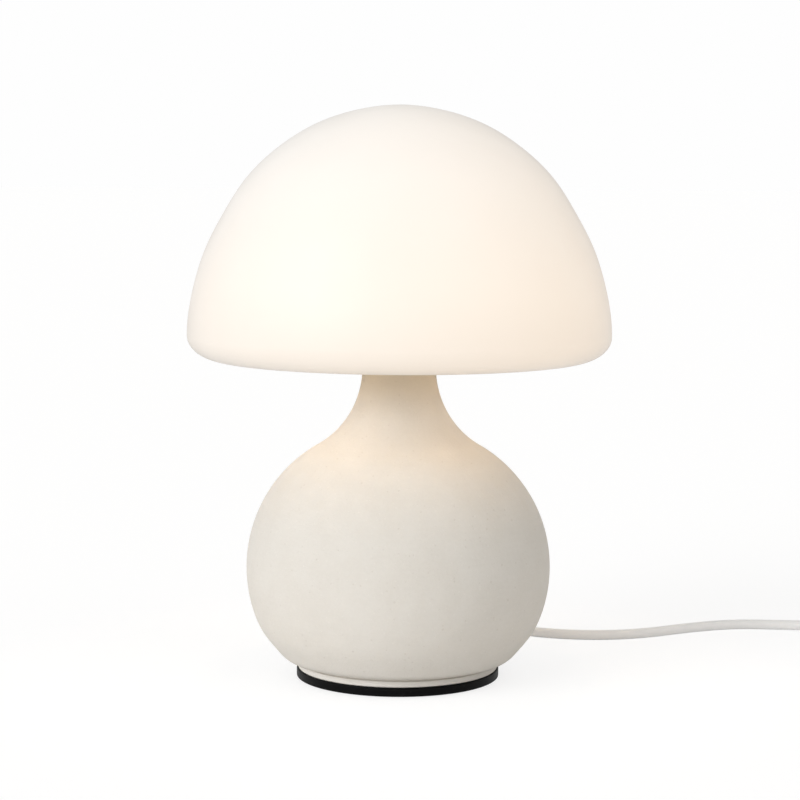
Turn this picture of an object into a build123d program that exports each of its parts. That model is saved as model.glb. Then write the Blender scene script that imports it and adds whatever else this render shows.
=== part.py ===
from build123d import *
import math
import os

# Mushroom table lamp: an opal glass shade on a hollow ceramic body, with its lampholder, lamp and mains lead.
# Millimetres, +Z up. The origin is at the middle of the resting face. The front is -Y. The lead leaves at the
# back (+Y) and runs to the right (+X).

# ---- fits and clearances ----
slip = 0.15            # a screw or a spigot in its hole, on the radius
run_gap = 0.05         # a turning or sliding fit, on the radius
shade_gap = 0.4        # between the centring upstands and the mouth of the shade
over = 1.0             # how far a cut runs past the face that it opens
screw_end_gap = 0.2    # between the end of a screw in the plate and the pad

# ---- foot ----
pad_radius = 50.0
pad_thickness = 1.6
plate_radius = 55.5
plate_lift = 0.5       # the plate's rim above the surface that the lamp stands on
plate_top = 5.3
plate_edge = 0.6
ring_width = 4.0       # the ring that centres the ceramic foot
ring_height = 3.0
ring_opening = 1.5     # room beside the bushing's flange, where the ring is cut away

# ---- ceramic body ----
wall = 5.0
foot_radius = 54.6
foot_inner = 47.2
foot_height = 3.2
foot_ease = 0.2        # how far the top edge of the foot ring is eased back
foot_ease_height = 0.3
groove_depth = 1.1
groove_width = 1.1
belly_radius = 83.0
belly_height = 61.0
shoulder_curve = 76.5  # radius of the round stretch above the belly
flare_curve = 50.0     # radius of the hollow stretch that runs up into the neck
neck_radius = 20.0
neck_top = 179.0
rim_round = 0.8
# How the outline goes from the belly to the foot: shares of the way in radius and in height.
under_shares = ((0.122, 0.449), (0.322, 0.692), (0.552, 0.855), (0.783, 0.973))
outline_steps = 24     # stations along an outline where its inner side is set off

# ---- lead and its bushing ----
cord_radius = 2.9
wire_radius = 1.05
wire_split = 0.1       # half the gap between two wires where the sheath ends
arc_share = 0.45       # the share of the shorter run that an arc of the lead takes
bushing_radius = 4.6
bushing_lift = 0.2     # the bushing's barrel above the plate
bushing_flange = 6.6
flange_thickness = 2.0
flange_inside = 0.6    # the flange stands this far inside the ceramic foot
bushing_shoulder = 66.0
bushing_taper = 22.0
relief_skin = 0.8      # rubber left round the lead at the thin end of a strain relief
notch_play = 0.15

# ---- clamp on the plate ----
clamp_place = 36.0
clamp_length = 26.0
clamp_depth = 8.0
clamp_thickness = 4.6
clamp_split = 0.3
clamp_round = 1.2
clamp_screw_place = 8.5
small_screw_radius = 1.5
small_head_radius = 2.9
small_head_height = 2.0

# ---- stem ----
tube_radius = 5.0
tube_bore = 4.0
tube_below_nut = 0.4
tube_above_floor = 2.0  # how far the tube stands out of the lampholder's floor
bend_radius = 25.5
bridge_height = 34.7
bridge_thickness = 2.5
bridge_width = 18.0
bridge_span = 44.0
bridge_foot = 12.0
bridge_screw_radius = 2.0
bridge_head_radius = 3.8
bridge_head_height = 2.6
washer_thickness = 0.9
washer_radius = 4.6
nut_flats = 14.0
nut_height = 4.0
gasket_thickness = 1.0
cap_thickness = 2.6
cap_edge = 0.6
spigot_depth = 7.0

# ---- shade carrier ----
hub_radius = 14.0
arm_root = 4.0         # how far an arm runs into the hub
arm_thickness = 1.6
arm_width = 9.0
arm_count = 3
arm_first = 30.0
arm_level = 30.0       # an arm runs level from the hub to this radius
arm_bend_before = 8.4  # it is level again from this far inside the shade's mouth
arm_past_pad = 1.6     # and ends this far past its seat
pad_setback = 0.8      # a seat ends this far inside the flat flange of the shade
arm_pad_thickness = 1.2
arm_pad_width = 11.0
upstand_width = 2.4
upstand_height = 3.5
upstand_round = 0.9
top_washer_radius = 10.0
top_washer_thickness = 1.2

# ---- shade ----
glass = 3.2
shade_radius = 115.0
shade_wide_height = 188.0
shade_top = 311.9
seat_to_lip = 6.0        # from the seat ring out to the lowest point of the lip
lip_height = 174.8
seat_radius = 91.0
seat_height = 178.0
flange_width = 8.6     # the flat inner flange that the shade rests by
# How the outline goes from the crown to the widest place: shares of the radius and of the height.
dome_shares = (
    (0.205, 0.977), (0.400, 0.915), (0.573, 0.814), (0.720, 0.683), (0.830, 0.526), (0.909, 0.384),
    (0.9635, 0.230),
)

# ---- lampholder ----
holder_radius = 14.5
holder_wall = 1.5
holder_round = 1.0
holder_neck_radius = 8.5
holder_neck_height = 5.0
holder_flare = 3.0     # height of the cone from the holder's neck to its full width
holder_floor = 6.0
holder_cap_height = 13.0
holder_joint = 5.0     # how far the cap's spigot reaches up into the barrel
holder_height = 42.0
wire_way = 6.2         # radius of the way for the wires through the cap
insert_thickness = 4.0
sleeve_wall = 1.7
sleeve_height = 18.0
contact_thickness = 0.6
contact_width = 3.4
contact_rise = 0.9
contact_clear = 0.6    # the end of the contact tongue from the sleeve
strip_height = 12.6
strip_back = 0.1       # the side contact's face behind the sleeve's bore
terminal_place = 7.0
terminal_radius = 1.3
terminal_head = 1.8
terminal_head_height = 1.2
terminal_length = 3.6
terminal_sunk = 0.2
terminal_slot = 0.6

# ---- lamp ----
lamp_cap_radius = 6.9
lamp_cap_length = 16.6
lamp_clearance = 0.35
thread_pitch = 2.8
thread_depth = 0.5
tip_radius = 2.2
tip_height = 1.0
insulator_radius = 5.5
insulator_height = 2.5
insulator_step = 0.6
globe_radius = 22.5
globe_wall = 1.2
housing_length = 16.0
housing_neck = 8.0
housing_wall = 1.6
board_shelf = 2.0      # the step in the housing that the board is sunk behind
lamp_length = 73.0
board_thickness = 1.4
chip_count = 8
chip_ring = 9.0
chip_size = 2.8
chip_height = 0.7

# ---- switch on the lead ----
switch_start = 280.0
switch_across = 118.0
switch_length = 62.0
switch_width = 24.0
switch_half_height = 8.0
switch_wall = 1.8
switch_corner = 6.0
switch_round = 3.4
switch_under_round = 1.2
sheath_in_switch = 9.0
rocker_length = 19.4
rocker_width = 10.5
rocker_play = 0.7
rocker_top = 16.8
rocker_end_dip = 0.4   # the rocker's ends and its middle below that height
rocker_middle_dip = 1.6
rocker_skirt = 1.8     # its underside below the pivot, at the ends and in the middle
rocker_boss_skirt = 2.4
rocker_boss = 6.0
rocker_tilt = 10.0
pivot_height = 12.6
pin_radius = 1.2
pin_in_ear = 2.0
ear_thickness = 2.4
ear_length = 6.0
ear_below_pin = 1.6
leg_radius = 1.3
leg_gap = 0.8          # the end of the rocker's leg above the tipping contact
seesaw_length = 16.0
seesaw_width = 4.0
seesaw_thickness = 0.6
seesaw_height = 6.4
seesaw_tilt = 5.0
seesaw_axle = 0.8
seesaw_hook = 0.7      # metal of the hook round the axle
axle_reach = 1.7       # the axle past each side of the tipping contact
post_gap = 0.5         # between the tipping contact and a leg of its post
post_thickness = 1.2
post_length = 2.4
post_over_axle = 0.4
fixed_radius = 1.4
fixed_inset = 1.6      # the fixed contact inside the end of the tipping one
contact_gap = 0.1
switch_screw_place = 23.0
switch_screw_across = 8.4
switch_screw_radius = 1.3
switch_head_radius = 2.4
switch_head_height = 1.6
switch_head_sunk = 0.3
switch_screw_length = 10.5
screw_hole_spare = 0.2
screw_slot_width = 0.6
screw_slot_depth = 0.6
pillar_wall = 1.3

# ---- wires in the switch ----
wire_floor = 3.4       # height of the wires along the floor of the switch
lane_height = 4.4      # the through wire passes the works at this height
lane_across = 8.2      # and this far to the side
post_wire_across = 3.4

# ---- coil of the lead ----
coil_x = 414.0
coil_radius = 44.0
coil_gap = 0.6
coil_layer_turns = 3
climb_draw = 1.0       # how far the climb is drawn in, clear of the turns beside it

# ---- plug ----
plug_x = 324.0
plug_y = 33.0
plug_length = 36.0
plug_shoulder = 15.1   # the full width runs this far back from the plug's face
plug_width = 26.0
plug_rear_width = 12.0
plug_thickness = 13.7
plug_corner = 2.0
plug_round = 3.0
relief_length = 22.0
relief_radius = 4.6
relief_root = 6.0
relief_first = 2.9
relief_grooves = 5
relief_step = 3.6
relief_groove = 1.2
relief_core_skin = 0.5  # rubber left round the lead in a groove
pin_length = 19.0
plug_pin_radius = 2.0
plug_pin_round = 1.2
pin_spacing = 18.6
pin_root = 6.0
sleeve_length = 10.0
pin_sleeve_wall = 0.35

# ---- sizes that follow ----
cord_height = plate_top + bushing_lift + bushing_radius
bushing_end = bushing_shoulder + bushing_taper
groove_height = plate_top + foot_height + groove_width / 2
bridge_screw_place = bridge_span / 2 + bridge_foot / 2
bridge_top = plate_top + bridge_height + bridge_thickness
lower_nut = bridge_top - bridge_thickness - nut_height
cap_bottom = neck_top + gasket_thickness
hub_bottom = cap_bottom + cap_thickness
washer_bottom = hub_bottom + arm_thickness
top_nut_bottom = washer_bottom + top_washer_thickness
holder_bottom = top_nut_bottom + nut_height
mouth_radius = seat_radius - flange_width
lip_radius = seat_radius + seat_to_lip
arm_bend = mouth_radius - arm_bend_before
pad_reach = seat_radius - pad_setback
arm_tip = pad_reach + arm_past_pad
tube_top = holder_bottom + holder_floor + tube_above_floor
insert_bottom = holder_bottom + holder_cap_height + holder_joint
insert_top = insert_bottom + insert_thickness
sleeve_bore = lamp_cap_radius + lamp_clearance
sleeve_radius = sleeve_bore + sleeve_wall
lamp_bottom = insert_top + contact_thickness + contact_rise
lamp_cap_bottom = lamp_bottom + tip_height + insulator_height
housing_bottom = lamp_cap_bottom + lamp_cap_length
housing_top = housing_bottom + housing_length
globe_middle = lamp_bottom + lamp_length - globe_radius
globe_mouth = math.sqrt(globe_radius**2 - (globe_middle - housing_top) ** 2)
switch_end = switch_start + switch_length
switch_middle = switch_start + switch_length / 2
switch_top = 2 * switch_half_height
axle_height = seesaw_height - seesaw_axle
fixed_place = seesaw_length / 2 - fixed_inset
coil_y = switch_across - coil_radius
coil_pitch = 2 * cord_radius + coil_gap
upper_layer = cord_radius + coil_pitch
plug_axis = plug_thickness / 2

FROM_BASE = (Align.CENTER, Align.CENTER, Align.MIN)
nodes = {}


# ---- shapes used again and again ----
def disc(radius, low, high, x=0.0, y=0.0):
    """An upright cylinder between two heights."""
    return Pos(x, y, low) * Cylinder(radius, high - low, align=FROM_BASE)


def ring(outer, inner, low, high, x=0.0, y=0.0):
    """An upright cylinder with a bore right through."""
    return disc(outer, low, high, x, y) - disc(inner, low, high, x, y)


def rod_x(radius, low, high, y, z):
    """A cylinder that lies along X between two places."""
    return Pos(low, y, z) * Rot(0, 90, 0) * Cylinder(radius, high - low, align=FROM_BASE)


def rod_y(radius, low, high, x, z):
    """A cylinder that lies along Y between two places."""
    return Pos(x, low, z) * Rot(-90, 0, 0) * Cylinder(radius, high - low, align=FROM_BASE)


def block(x_range, y_range, z_range):
    """A box between two corners."""
    low = Vector(x_range[0], y_range[0], z_range[0])
    high = Vector(x_range[1], y_range[1], z_range[1])
    size = high - low
    return Pos(*(low + size / 2)) * Box(*size)


def about(middle, length):
    """The range of that length about a middle."""
    return (middle - length / 2, middle + length / 2)


def turned(*points):
    """A solid turned about the vertical axis from (radius, height) points."""
    outline = Polyline(*[(radius, 0, height) for radius, height in points], close=True)
    return revolve(make_face(outline), Axis.Z)


def nut(low, bore):
    """A hexagon nut on the lamp's axis."""
    hexagon = RegularPolygon(nut_flats / 2, 6, major_radius=False)
    body = extrude(Pos(0, 0, low) * hexagon, nut_height)
    return body - disc(bore, low, low + nut_height)


def screw(x, y, seat, tip, shank, head, head_height):
    """A pan head screw whose head stands on seat and whose shank reaches down to tip, with a cross recess."""
    top = seat + head_height
    body = disc(shank, tip, seat, x, y) + disc(head, seat, top, x, y)
    body = fillet(body.edges().group_by(Axis.Z)[-1], head_height * 0.4)
    arm_thick = head * 0.44
    arm_long = head * 1.2
    recess_range = (top - head_height * 0.45, top)
    recess = block(about(x, arm_long), about(y, arm_thick), recess_range)
    recess += block(about(x, arm_thick), about(y, arm_long), recess_range)
    return body - recess


def inset(edge, distance):
    """The curve that lies beside an outline, on its inner side, at a fixed distance."""
    points = []
    for step in range(outline_steps + 1):
        place = edge.position_at(step / outline_steps)
        along = edge.tangent_at(step / outline_steps)
        points.append(place + Vector(along.Z, 0, -along.X) * distance)
    return Spline(*points, tangents=[edge.tangent_at(0), edge.tangent_at(1)])


def corner_radii(points):
    """The radius of the tangent arc at each corner of a lead's route, as large as its two runs allow."""
    radii = []
    for before, here, after in zip(points, points[1:], points[2:]):
        first = Vector(*here) - Vector(*before)
        second = Vector(*after) - Vector(*here)
        half_turn = math.radians(first.get_angle(second)) / 2
        radii.append(arc_share * min(first.length, second.length) / math.tan(half_turn))
    return radii


def lead(name, points, radius, radii=None):
    """A round lead along straight runs joined by tangent arcs."""
    radii = radii or corner_radii(points)
    route = FilletPolyline(*points, radius=radii)
    section = Plane(origin=route @ 0, z_dir=route % 0) * Circle(radius)
    tube = sweep(section, path=route)
    share = tube.volume / (math.pi * radius**2 * route.length)
    print(f"{name}: length {route.length:.1f}, volume share {share:.4f}, radii", [round(r, 1) for r in radii])
    return tube


def group(shapes):
    """Separate solids kept in one node."""
    return Compound([solid for shape in shapes for solid in shape.solids()])


# ---- foot: pad and plate ----
def make_foot():
    """The pad in its recess, and the black plate with its centring ring and screw holes."""
    nodes["foot_pad"] = disc(pad_radius, 0, pad_thickness)
    plate = fillet(disc(plate_radius, plate_lift, plate_top).edges(), plate_edge)
    plate -= disc(pad_radius + slip, plate_lift, pad_thickness)
    ring_outer = foot_inner - slip
    plate += ring(ring_outer, ring_outer - ring_width, plate_top, plate_top + ring_height)
    half_opening = bushing_flange + ring_opening
    plate -= block((-half_opening, half_opening), (0, plate_radius), (plate_top, plate_top + ring_height))
    for side in (-1, 1):
        plate -= disc(bridge_screw_radius, pad_thickness, plate_top, side * bridge_screw_place)
        plate -= disc(small_screw_radius, pad_thickness, plate_top, side * clamp_screw_place, clamp_place)
    nodes["base_plate"] = plate


# ---- ceramic body ----
def make_body():
    """The hollow body, thrown as one wall, with a foot ring, a shadow groove and a notch for the lead."""
    belly = (belly_radius, 0, belly_height)
    under_end = (foot_radius - foot_ease, 0, groove_height + groove_width / 2)
    under_points = [
        (belly_radius + share_r * (under_end[0] - belly_radius), 0,
         belly_height + share_z * (under_end[2] - belly_height))
        for share_r, share_z in under_shares
    ]
    shoulder_middle = (belly_radius - shoulder_curve, belly_height)
    flare_across = neck_radius + flare_curve - shoulder_middle[0]
    flare_rise = math.sqrt((shoulder_curve + flare_curve) ** 2 - flare_across**2)
    flare_middle = (neck_radius + flare_curve, belly_height + flare_rise)
    meeting = math.degrees(math.atan2(flare_rise, flare_across))
    shoulder = Plane.XZ * CenterArc(shoulder_middle, shoulder_curve, 0, meeting)
    flare = Plane.XZ * CenterArc(flare_middle, flare_curve, 180, meeting)
    shoulder_inner = Plane.XZ * CenterArc(shoulder_middle, shoulder_curve - wall, 0, meeting)
    flare_inner = Plane.XZ * CenterArc(flare_middle, flare_curve + wall, 180, meeting)
    under = Spline(belly, *under_points, under_end, tangents=[(0, 0, -1), (-1, 0, -0.12)])
    under_inner = inset(under, wall)
    groove_floor = (foot_radius - groove_depth, 0, groove_height)
    foot_shoulder = (foot_radius - foot_ease, 0, groove_height - groove_width / 2)
    groove = ThreePointArc(under_end, groove_floor, foot_shoulder)
    floor_end = under_inner @ 1
    foot = Polyline(
        foot_shoulder, (foot_radius, 0, foot_shoulder[2] - foot_ease_height), (foot_radius, 0, plate_top),
        (foot_inner, 0, plate_top), (foot_inner, 0, floor_end.Z), floor_end)
    neck_inner = neck_radius - wall
    neck = Polyline(
        (neck_inner, 0, flare_middle[1]), (neck_inner, 0, neck_top), (neck_radius, 0, neck_top),
        (neck_radius, 0, flare_middle[1]))
    outline = flare + shoulder + under + groove + foot + under_inner + shoulder_inner + flare_inner + neck
    body = revolve(make_face(outline), Axis.Z)
    rim_edge = body.edges().filter_by(GeomType.CIRCLE).group_by(Axis.Z)[-1]
    body = fillet(rim_edge, rim_round)
    notch_half = bushing_radius + notch_play
    notch = block((-notch_half, notch_half), (foot_inner - over, belly_radius), (plate_top, cord_height))
    notch += rod_y(notch_half, foot_inner - over, belly_radius, 0, cord_height)
    nodes["ceramic_body"] = body - notch


def make_bushing():
    """The rubber bushing in the notch, with a flange inside the foot and a tapered tail outside."""
    start = foot_inner - flange_thickness - flange_inside
    tail = Pos(0, bushing_shoulder, cord_height) * Rot(-90, 0, 0) * Cone(
        bushing_radius, cord_radius + relief_skin, bushing_taper, align=FROM_BASE)
    barrel = rod_y(bushing_radius, start, bushing_shoulder, 0, cord_height) + tail
    flange = rod_y(bushing_flange, start, start + flange_thickness, 0, cord_height)
    flange &= block((-bushing_flange, bushing_flange), (0, bushing_end),
                    (plate_top, cord_height + bushing_flange))
    hole = rod_y(cord_radius + run_gap, start, bushing_end, 0, cord_height)
    nodes["cord_bushing"] = barrel + flange - hole


# ---- strain relief on the plate ----
def make_clamp():
    """A block and a bar that pinch the lead on the plate, with two screws."""
    x_range = about(0, clamp_length)
    y_range = about(clamp_place, clamp_depth)
    split_bottom = cord_height - clamp_split / 2
    split_top = cord_height + clamp_split / 2
    bar_top = split_top + clamp_thickness
    cradle = rod_y(cord_radius + run_gap, *y_range, 0, cord_height)
    lower = block(x_range, y_range, (plate_top, split_bottom)) - cradle
    bar = block(x_range, y_range, (split_top, bar_top)) - cradle
    bar = fillet(bar.edges().filter_by(Axis.Y).group_by(Axis.Z)[-1], clamp_round)
    screws = []
    for side in (-1, 1):
        x = side * clamp_screw_place
        hole = disc(small_screw_radius + slip, plate_top, bar_top, x, clamp_place)
        lower -= hole
        bar -= hole
        screws.append(screw(x, clamp_place, bar_top, pad_thickness + screw_end_gap, small_screw_radius,
                            small_head_radius, small_head_height))
    nodes["clamp_block"] = lower
    nodes["clamp_bar"] = bar
    nodes["clamp_screws"] = group(screws)


# ---- stem: bridge, tube, nuts and neck cap ----
def make_bridge():
    """The strap that stands on the plate over the lead, with its screws and washers."""
    inner_span = bridge_span - 2 * bridge_thickness
    y_range = about(0, bridge_width)
    foot_range = (plate_top, plate_top + bridge_thickness)
    strap = block(about(0, bridge_span), y_range, (plate_top, bridge_top))
    strap += block(about(0, bridge_span + 2 * bridge_foot), y_range, foot_range)
    strap -= block(about(0, inner_span), y_range, (plate_top, bridge_top - bridge_thickness))
    strap -= disc(tube_radius + slip, bridge_top - bridge_thickness, bridge_top)
    screws = []
    washers = []
    washer_top = foot_range[1] + washer_thickness
    for side in (-1, 1):
        x = side * bridge_screw_place
        strap -= disc(bridge_screw_radius + slip, *foot_range, x)
        washers.append(ring(washer_radius, bridge_screw_radius + slip, foot_range[1], washer_top, x))
        screws.append(screw(x, 0, washer_top, pad_thickness + screw_end_gap, bridge_screw_radius,
                            bridge_head_radius, bridge_head_height))
    nodes["bridge"] = strap
    nodes["bridge_screws"] = group(screws)
    nodes["bridge_washers"] = group(washers)


def make_stem():
    """The threaded tube that clamps the ceramic body down through its neck, with its nuts, gasket and cap."""
    nodes["stem_tube"] = ring(tube_radius, tube_bore, lower_nut - tube_below_nut, tube_top)
    nut_bore = tube_radius + run_gap
    nodes["bridge_nuts"] = group([nut(lower_nut, nut_bore), nut(bridge_top, nut_bore)])
    neck_bore = neck_radius - wall
    nodes["neck_gasket"] = ring(neck_radius - rim_round, neck_bore + slip, neck_top, cap_bottom)
    cap = disc(neck_radius, cap_bottom, hub_bottom)
    cap = fillet(cap.edges().group_by(Axis.Z)[-1], cap_edge)
    cap += disc(neck_bore - slip, neck_top - spigot_depth, cap_bottom)
    nodes["neck_cap"] = cap - disc(tube_radius + slip, neck_top - spigot_depth, hub_bottom)


# ---- shade carrier ----
def make_carrier():
    """The pressed hub with three arms, their silicone seats, and the washer and nut that hold it."""
    arm_top = seat_height - arm_pad_thickness
    upper = [(hub_radius - arm_root, washer_bottom), (arm_level, washer_bottom), (arm_bend, arm_top),
             (arm_tip, arm_top)]
    lower = [(radius, height - arm_thickness) for radius, height in reversed(upper)]
    strip = make_face(Polyline(*[(radius, 0, height) for radius, height in upper + lower], close=True))
    arm = extrude(strip, arm_width / 2, dir=(0, 1, 0), both=True)
    upstand_reach = mouth_radius - shade_gap
    upstand_start = upstand_reach - upstand_width
    across = about(0, arm_pad_width)
    upstand = block((upstand_start, upstand_reach), across, (seat_height, seat_height + upstand_height))
    pad = block((upstand_start, pad_reach), across, (arm_top, seat_height))
    pad += fillet(upstand.edges().group_by(Axis.Z)[-1], upstand_round)
    carrier = disc(hub_radius, hub_bottom, washer_bottom)
    pads = []
    for index in range(arm_count):
        turn = Rot(0, 0, arm_first + index * 360 / arm_count)
        carrier += turn * arm
        pads.append(turn * pad)
    nodes["shade_carrier"] = carrier - disc(tube_radius + slip, hub_bottom, washer_bottom)
    nodes["arm_pads"] = group(pads)
    nodes["carrier_washer"] = ring(top_washer_radius, tube_radius + slip, washer_bottom, top_nut_bottom)
    nodes["carrier_nut"] = nut(top_nut_bottom, tube_radius + run_gap)


# ---- glass shade ----
def make_shade():
    """The blown dome: its crown, its round in-turned lip and the flat inner flange that it rests by."""
    crown = (0, 0, shade_top)
    widest = (shade_radius, 0, shade_wide_height)
    rise = shade_top - shade_wide_height
    dome_points = [(share_r * shade_radius, 0, shade_wide_height + share_z * rise)
                   for share_r, share_z in dome_shares]
    lowest = (lip_radius, 0, lip_height)
    seat = (seat_radius, 0, seat_height)
    flange_edge = mouth_radius + glass / 2
    flange_top = seat_height + glass
    lip_across = shade_radius - lip_radius
    lip_drop = shade_wide_height - lip_height
    lip_middle = (lip_radius, shade_wide_height)
    dome = Spline(crown, *dome_points, widest, tangents=[(1, 0, 0), (0, 0, -1)])
    lip = Plane.XZ * EllipticalCenterArc(lip_middle, lip_across, lip_drop, 270, arc_size=90)
    lip_inner = Plane.XZ * EllipticalCenterArc(lip_middle, lip_across - glass, lip_drop - glass, 270,
                                               arc_size=90)
    curl = Spline(lowest, seat, tangents=[(-1, 0, 0), (-1, 0, 0)])
    mouth = ThreePointArc((flange_edge, 0, seat_height), (mouth_radius, 0, seat_height + glass / 2),
                          (flange_edge, 0, flange_top))
    flange = Line(seat, mouth @ 0) + mouth + Line(mouth @ 1, (seat_radius, 0, flange_top))
    crown_wall = Line((0, 0, shade_top - glass), crown)
    outline = dome + lip + curl + flange
    outline += Pos(0, 0, glass) * curl + lip_inner + inset(dome, glass) + crown_wall
    nodes["glass_shade"] = revolve(make_face(outline), Axis.Z)


# ---- lampholder ----
def make_holder_shells():
    """The cap screwed on the top of the tube, and the barrel that snaps over it."""
    inner = holder_radius - holder_wall
    spigot = inner - slip
    cap_top = holder_bottom + holder_cap_height
    neck_end = holder_bottom + holder_neck_height
    cap = turned(
        (0, holder_bottom), (holder_neck_radius, holder_bottom), (holder_neck_radius, neck_end),
        (holder_radius, neck_end + holder_flare), (holder_radius, cap_top), (spigot, cap_top),
        (spigot, insert_bottom), (0, insert_bottom))
    cap -= disc(spigot - holder_wall, neck_end + holder_floor, insert_bottom)
    cap -= disc(wire_way, holder_bottom + holder_floor, insert_bottom)
    cap -= disc(tube_radius + run_gap, holder_bottom, holder_bottom + holder_floor)
    nodes["holder_cap"] = cap

    holder_top = holder_bottom + holder_height
    barrel = ring(holder_radius, inner, cap_top, holder_top)
    barrel += ring(holder_radius, sleeve_radius + slip, holder_top - holder_wall, holder_top)
    top_rims = barrel.edges().filter_by(GeomType.CIRCLE).group_by(Axis.Z)[-1]
    nodes["holder_barrel"] = fillet(top_rims.sort_by(SortBy.RADIUS)[-1], holder_round)


def terminal_screw(start, height):
    """A slotted terminal screw that lies along X, its head outwards and just under the insert's rim."""
    end = start + terminal_length
    face = end - terminal_sunk
    driver = rod_x(terminal_radius, start, face, 0, height)
    driver += rod_x(terminal_head, face - terminal_head_height, face, 0, height)
    slot = block((face - terminal_slot, end), about(0, 2 * terminal_head), about(height, terminal_slot))
    return driver - slot


def make_holder_works():
    """The insert with its sleeve, the two terminal screws and the two contacts."""
    insert_radius = holder_radius - holder_wall - slip
    insert = disc(insert_radius, insert_bottom, insert_top)
    insert += ring(sleeve_radius, sleeve_bore, insert_top, insert_top + sleeve_height)
    insert -= block((sleeve_bore - over, sleeve_radius + over), about(0, contact_width + 2 * slip),
                    (insert_top, insert_top + sleeve_height))
    start = insert_radius - terminal_length
    height = insert_bottom + insert_thickness / 2
    screws = []
    for side in (-1, 1):
        turn = Rot(0, 0, 90 - side * 90)
        screws.append(turn * terminal_screw(start, height))
        insert -= turn * rod_x(terminal_head + run_gap, start, insert_radius + over, 0, height)
        insert -= disc(wire_radius + run_gap, insert_bottom, height, side * terminal_place)
    nodes["holder_insert"] = insert
    nodes["terminal_screws"] = group(screws)

    across = about(0, contact_width)
    tongue = block((contact_clear - sleeve_bore, tip_radius), across,
                   (insert_top, insert_top + contact_thickness))
    tongue += disc(contact_width / 2, insert_top + contact_thickness, lamp_bottom)
    nodes["centre_contact"] = tongue
    strip_face = sleeve_bore + strip_back
    nodes["side_contact"] = block((strip_face, strip_face + contact_thickness), across,
                                  (insert_top, insert_top + strip_height))


# ---- lamp ----
def make_lamp_cap():
    """The contact tip, its insulator and the threaded cap."""
    tip_top = lamp_bottom + tip_height
    nodes["bulb_tip"] = disc(tip_radius, lamp_bottom, tip_top)
    nodes["bulb_insulator"] = turned((0, tip_top), (tip_radius + insulator_step, tip_top),
                                     (insulator_radius, lamp_cap_bottom), (0, lamp_cap_bottom))
    cap = disc(lamp_cap_radius, lamp_cap_bottom, housing_bottom)
    for index in range(1, int(lamp_cap_length / thread_pitch)):
        height = lamp_cap_bottom + index * thread_pitch
        cap -= turned((lamp_cap_radius - thread_depth, height),
                      (lamp_cap_radius + over, height - thread_pitch / 3),
                      (lamp_cap_radius + over, height + thread_pitch / 3))
    nodes["bulb_cap"] = cap


def make_lamp_head():
    """The housing, the board with its chips, and the opal globe."""
    neck = (housing_neck, 0, housing_bottom)
    mouth = (globe_mouth, 0, housing_top)
    flare = Spline(neck, mouth, tangents=[(0.2, 0, 1), (0.7, 0, 1)])
    closing = Polyline(mouth, (0, 0, housing_top), (0, 0, housing_bottom), neck)
    housing = revolve(make_face(flare + closing), Axis.Z)
    recess_radius = globe_mouth - housing_wall - board_shelf
    board_bottom = housing_top - board_thickness - globe_wall
    board_top = board_bottom + board_thickness
    housing -= disc(recess_radius, board_bottom, housing_top)
    housing -= disc(housing_neck - housing_wall, housing_bottom + housing_wall, board_bottom)
    nodes["bulb_housing"] = housing
    nodes["led_board"] = disc(recess_radius - slip, board_bottom, board_top)
    chips = []
    for index in range(chip_count):
        place = Rot(0, 0, index * 360 / chip_count) * Pos(chip_ring, 0, board_top)
        chips.append(place * Box(chip_size, chip_size, chip_height, align=FROM_BASE))
    nodes["led_chips"] = group(chips)
    ball = Sphere(globe_radius) - Sphere(globe_radius - globe_wall)
    above_mouth = block(about(0, 2 * globe_radius), about(0, 2 * globe_radius),
                        (housing_top, globe_middle + globe_radius))
    nodes["bulb_globe"] = Pos(0, 0, globe_middle) * ball & above_mouth


# ---- lead inside the lamp ----
def make_inner_lead():
    """The sheathed lead from the bushing, under the bridge and up the tube, and its wires in the holder."""
    bared = 1.0
    straight = 2.0
    wire_bend = 1.6
    before_terminal = 2.6
    sheath_top = tube_top + bared
    route = [(0, bushing_end, cord_height), (0, 0, cord_height), (0, 0, sheath_top)]
    nodes["cord_inner"] = lead("cord_inner", route, cord_radius, [bend_radius])
    spread = wire_radius + wire_split
    wire_end = insert_bottom + insert_thickness / 2 - terminal_head
    for name, side in (("wire_brown", 1), ("wire_blue", -1)):
        points = [(side * spread, 0, sheath_top), (side * spread, 0, sheath_top + straight),
                  (side * terminal_place, 0, wire_end - before_terminal),
                  (side * terminal_place, 0, wire_end)]
        nodes[name] = lead(name, points, wire_radius, [wire_bend, wire_bend])


# ---- lead on the table ----
run_points = [
    (0.0, bushing_end, cord_height), (0.0, 103.0, cord_height), (3.0, 122.0, 5.6), (15.0, 139.0, cord_radius),
    (36.0, 144.0, cord_radius), (54.0, 134.0, cord_radius), (65.5, 118.5, cord_radius),
    (79.0, 105.0, cord_radius), (99.0, 97.8, cord_radius), (122.0, 95.5, cord_radius),
    (148.0, 102.5, cord_radius),
    (177.0, 120.5, cord_radius), (205.0, 132.0, cord_radius), (233.0, 129.5, cord_radius),
    (252.0, 120.5, 4.6), (268.0, switch_across, switch_half_height),
    (switch_start + sheath_in_switch, switch_across, switch_half_height),
]
link_points = [
    (switch_end - sheath_in_switch, switch_across, switch_half_height),
    (switch_end + 12.0, switch_across, switch_half_height),
    (switch_end + 30.0, switch_across - 1.5, 4.4),
    (switch_end + 48.0, switch_across, cord_radius),
    (coil_x - 2 * cord_radius, switch_across, cord_radius),
]
tail_points = [
    (coil_x - 2 * cord_radius, coil_y - coil_radius, upper_layer),
    (coil_x - 22.0, coil_y - coil_radius, upper_layer),
    (coil_x - 42.0, coil_y - coil_radius + 1.6, plug_axis + 0.4),
    (coil_x - 58.0, plug_y, plug_axis),
    (plug_x + relief_length, plug_y, plug_axis),
]


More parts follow.
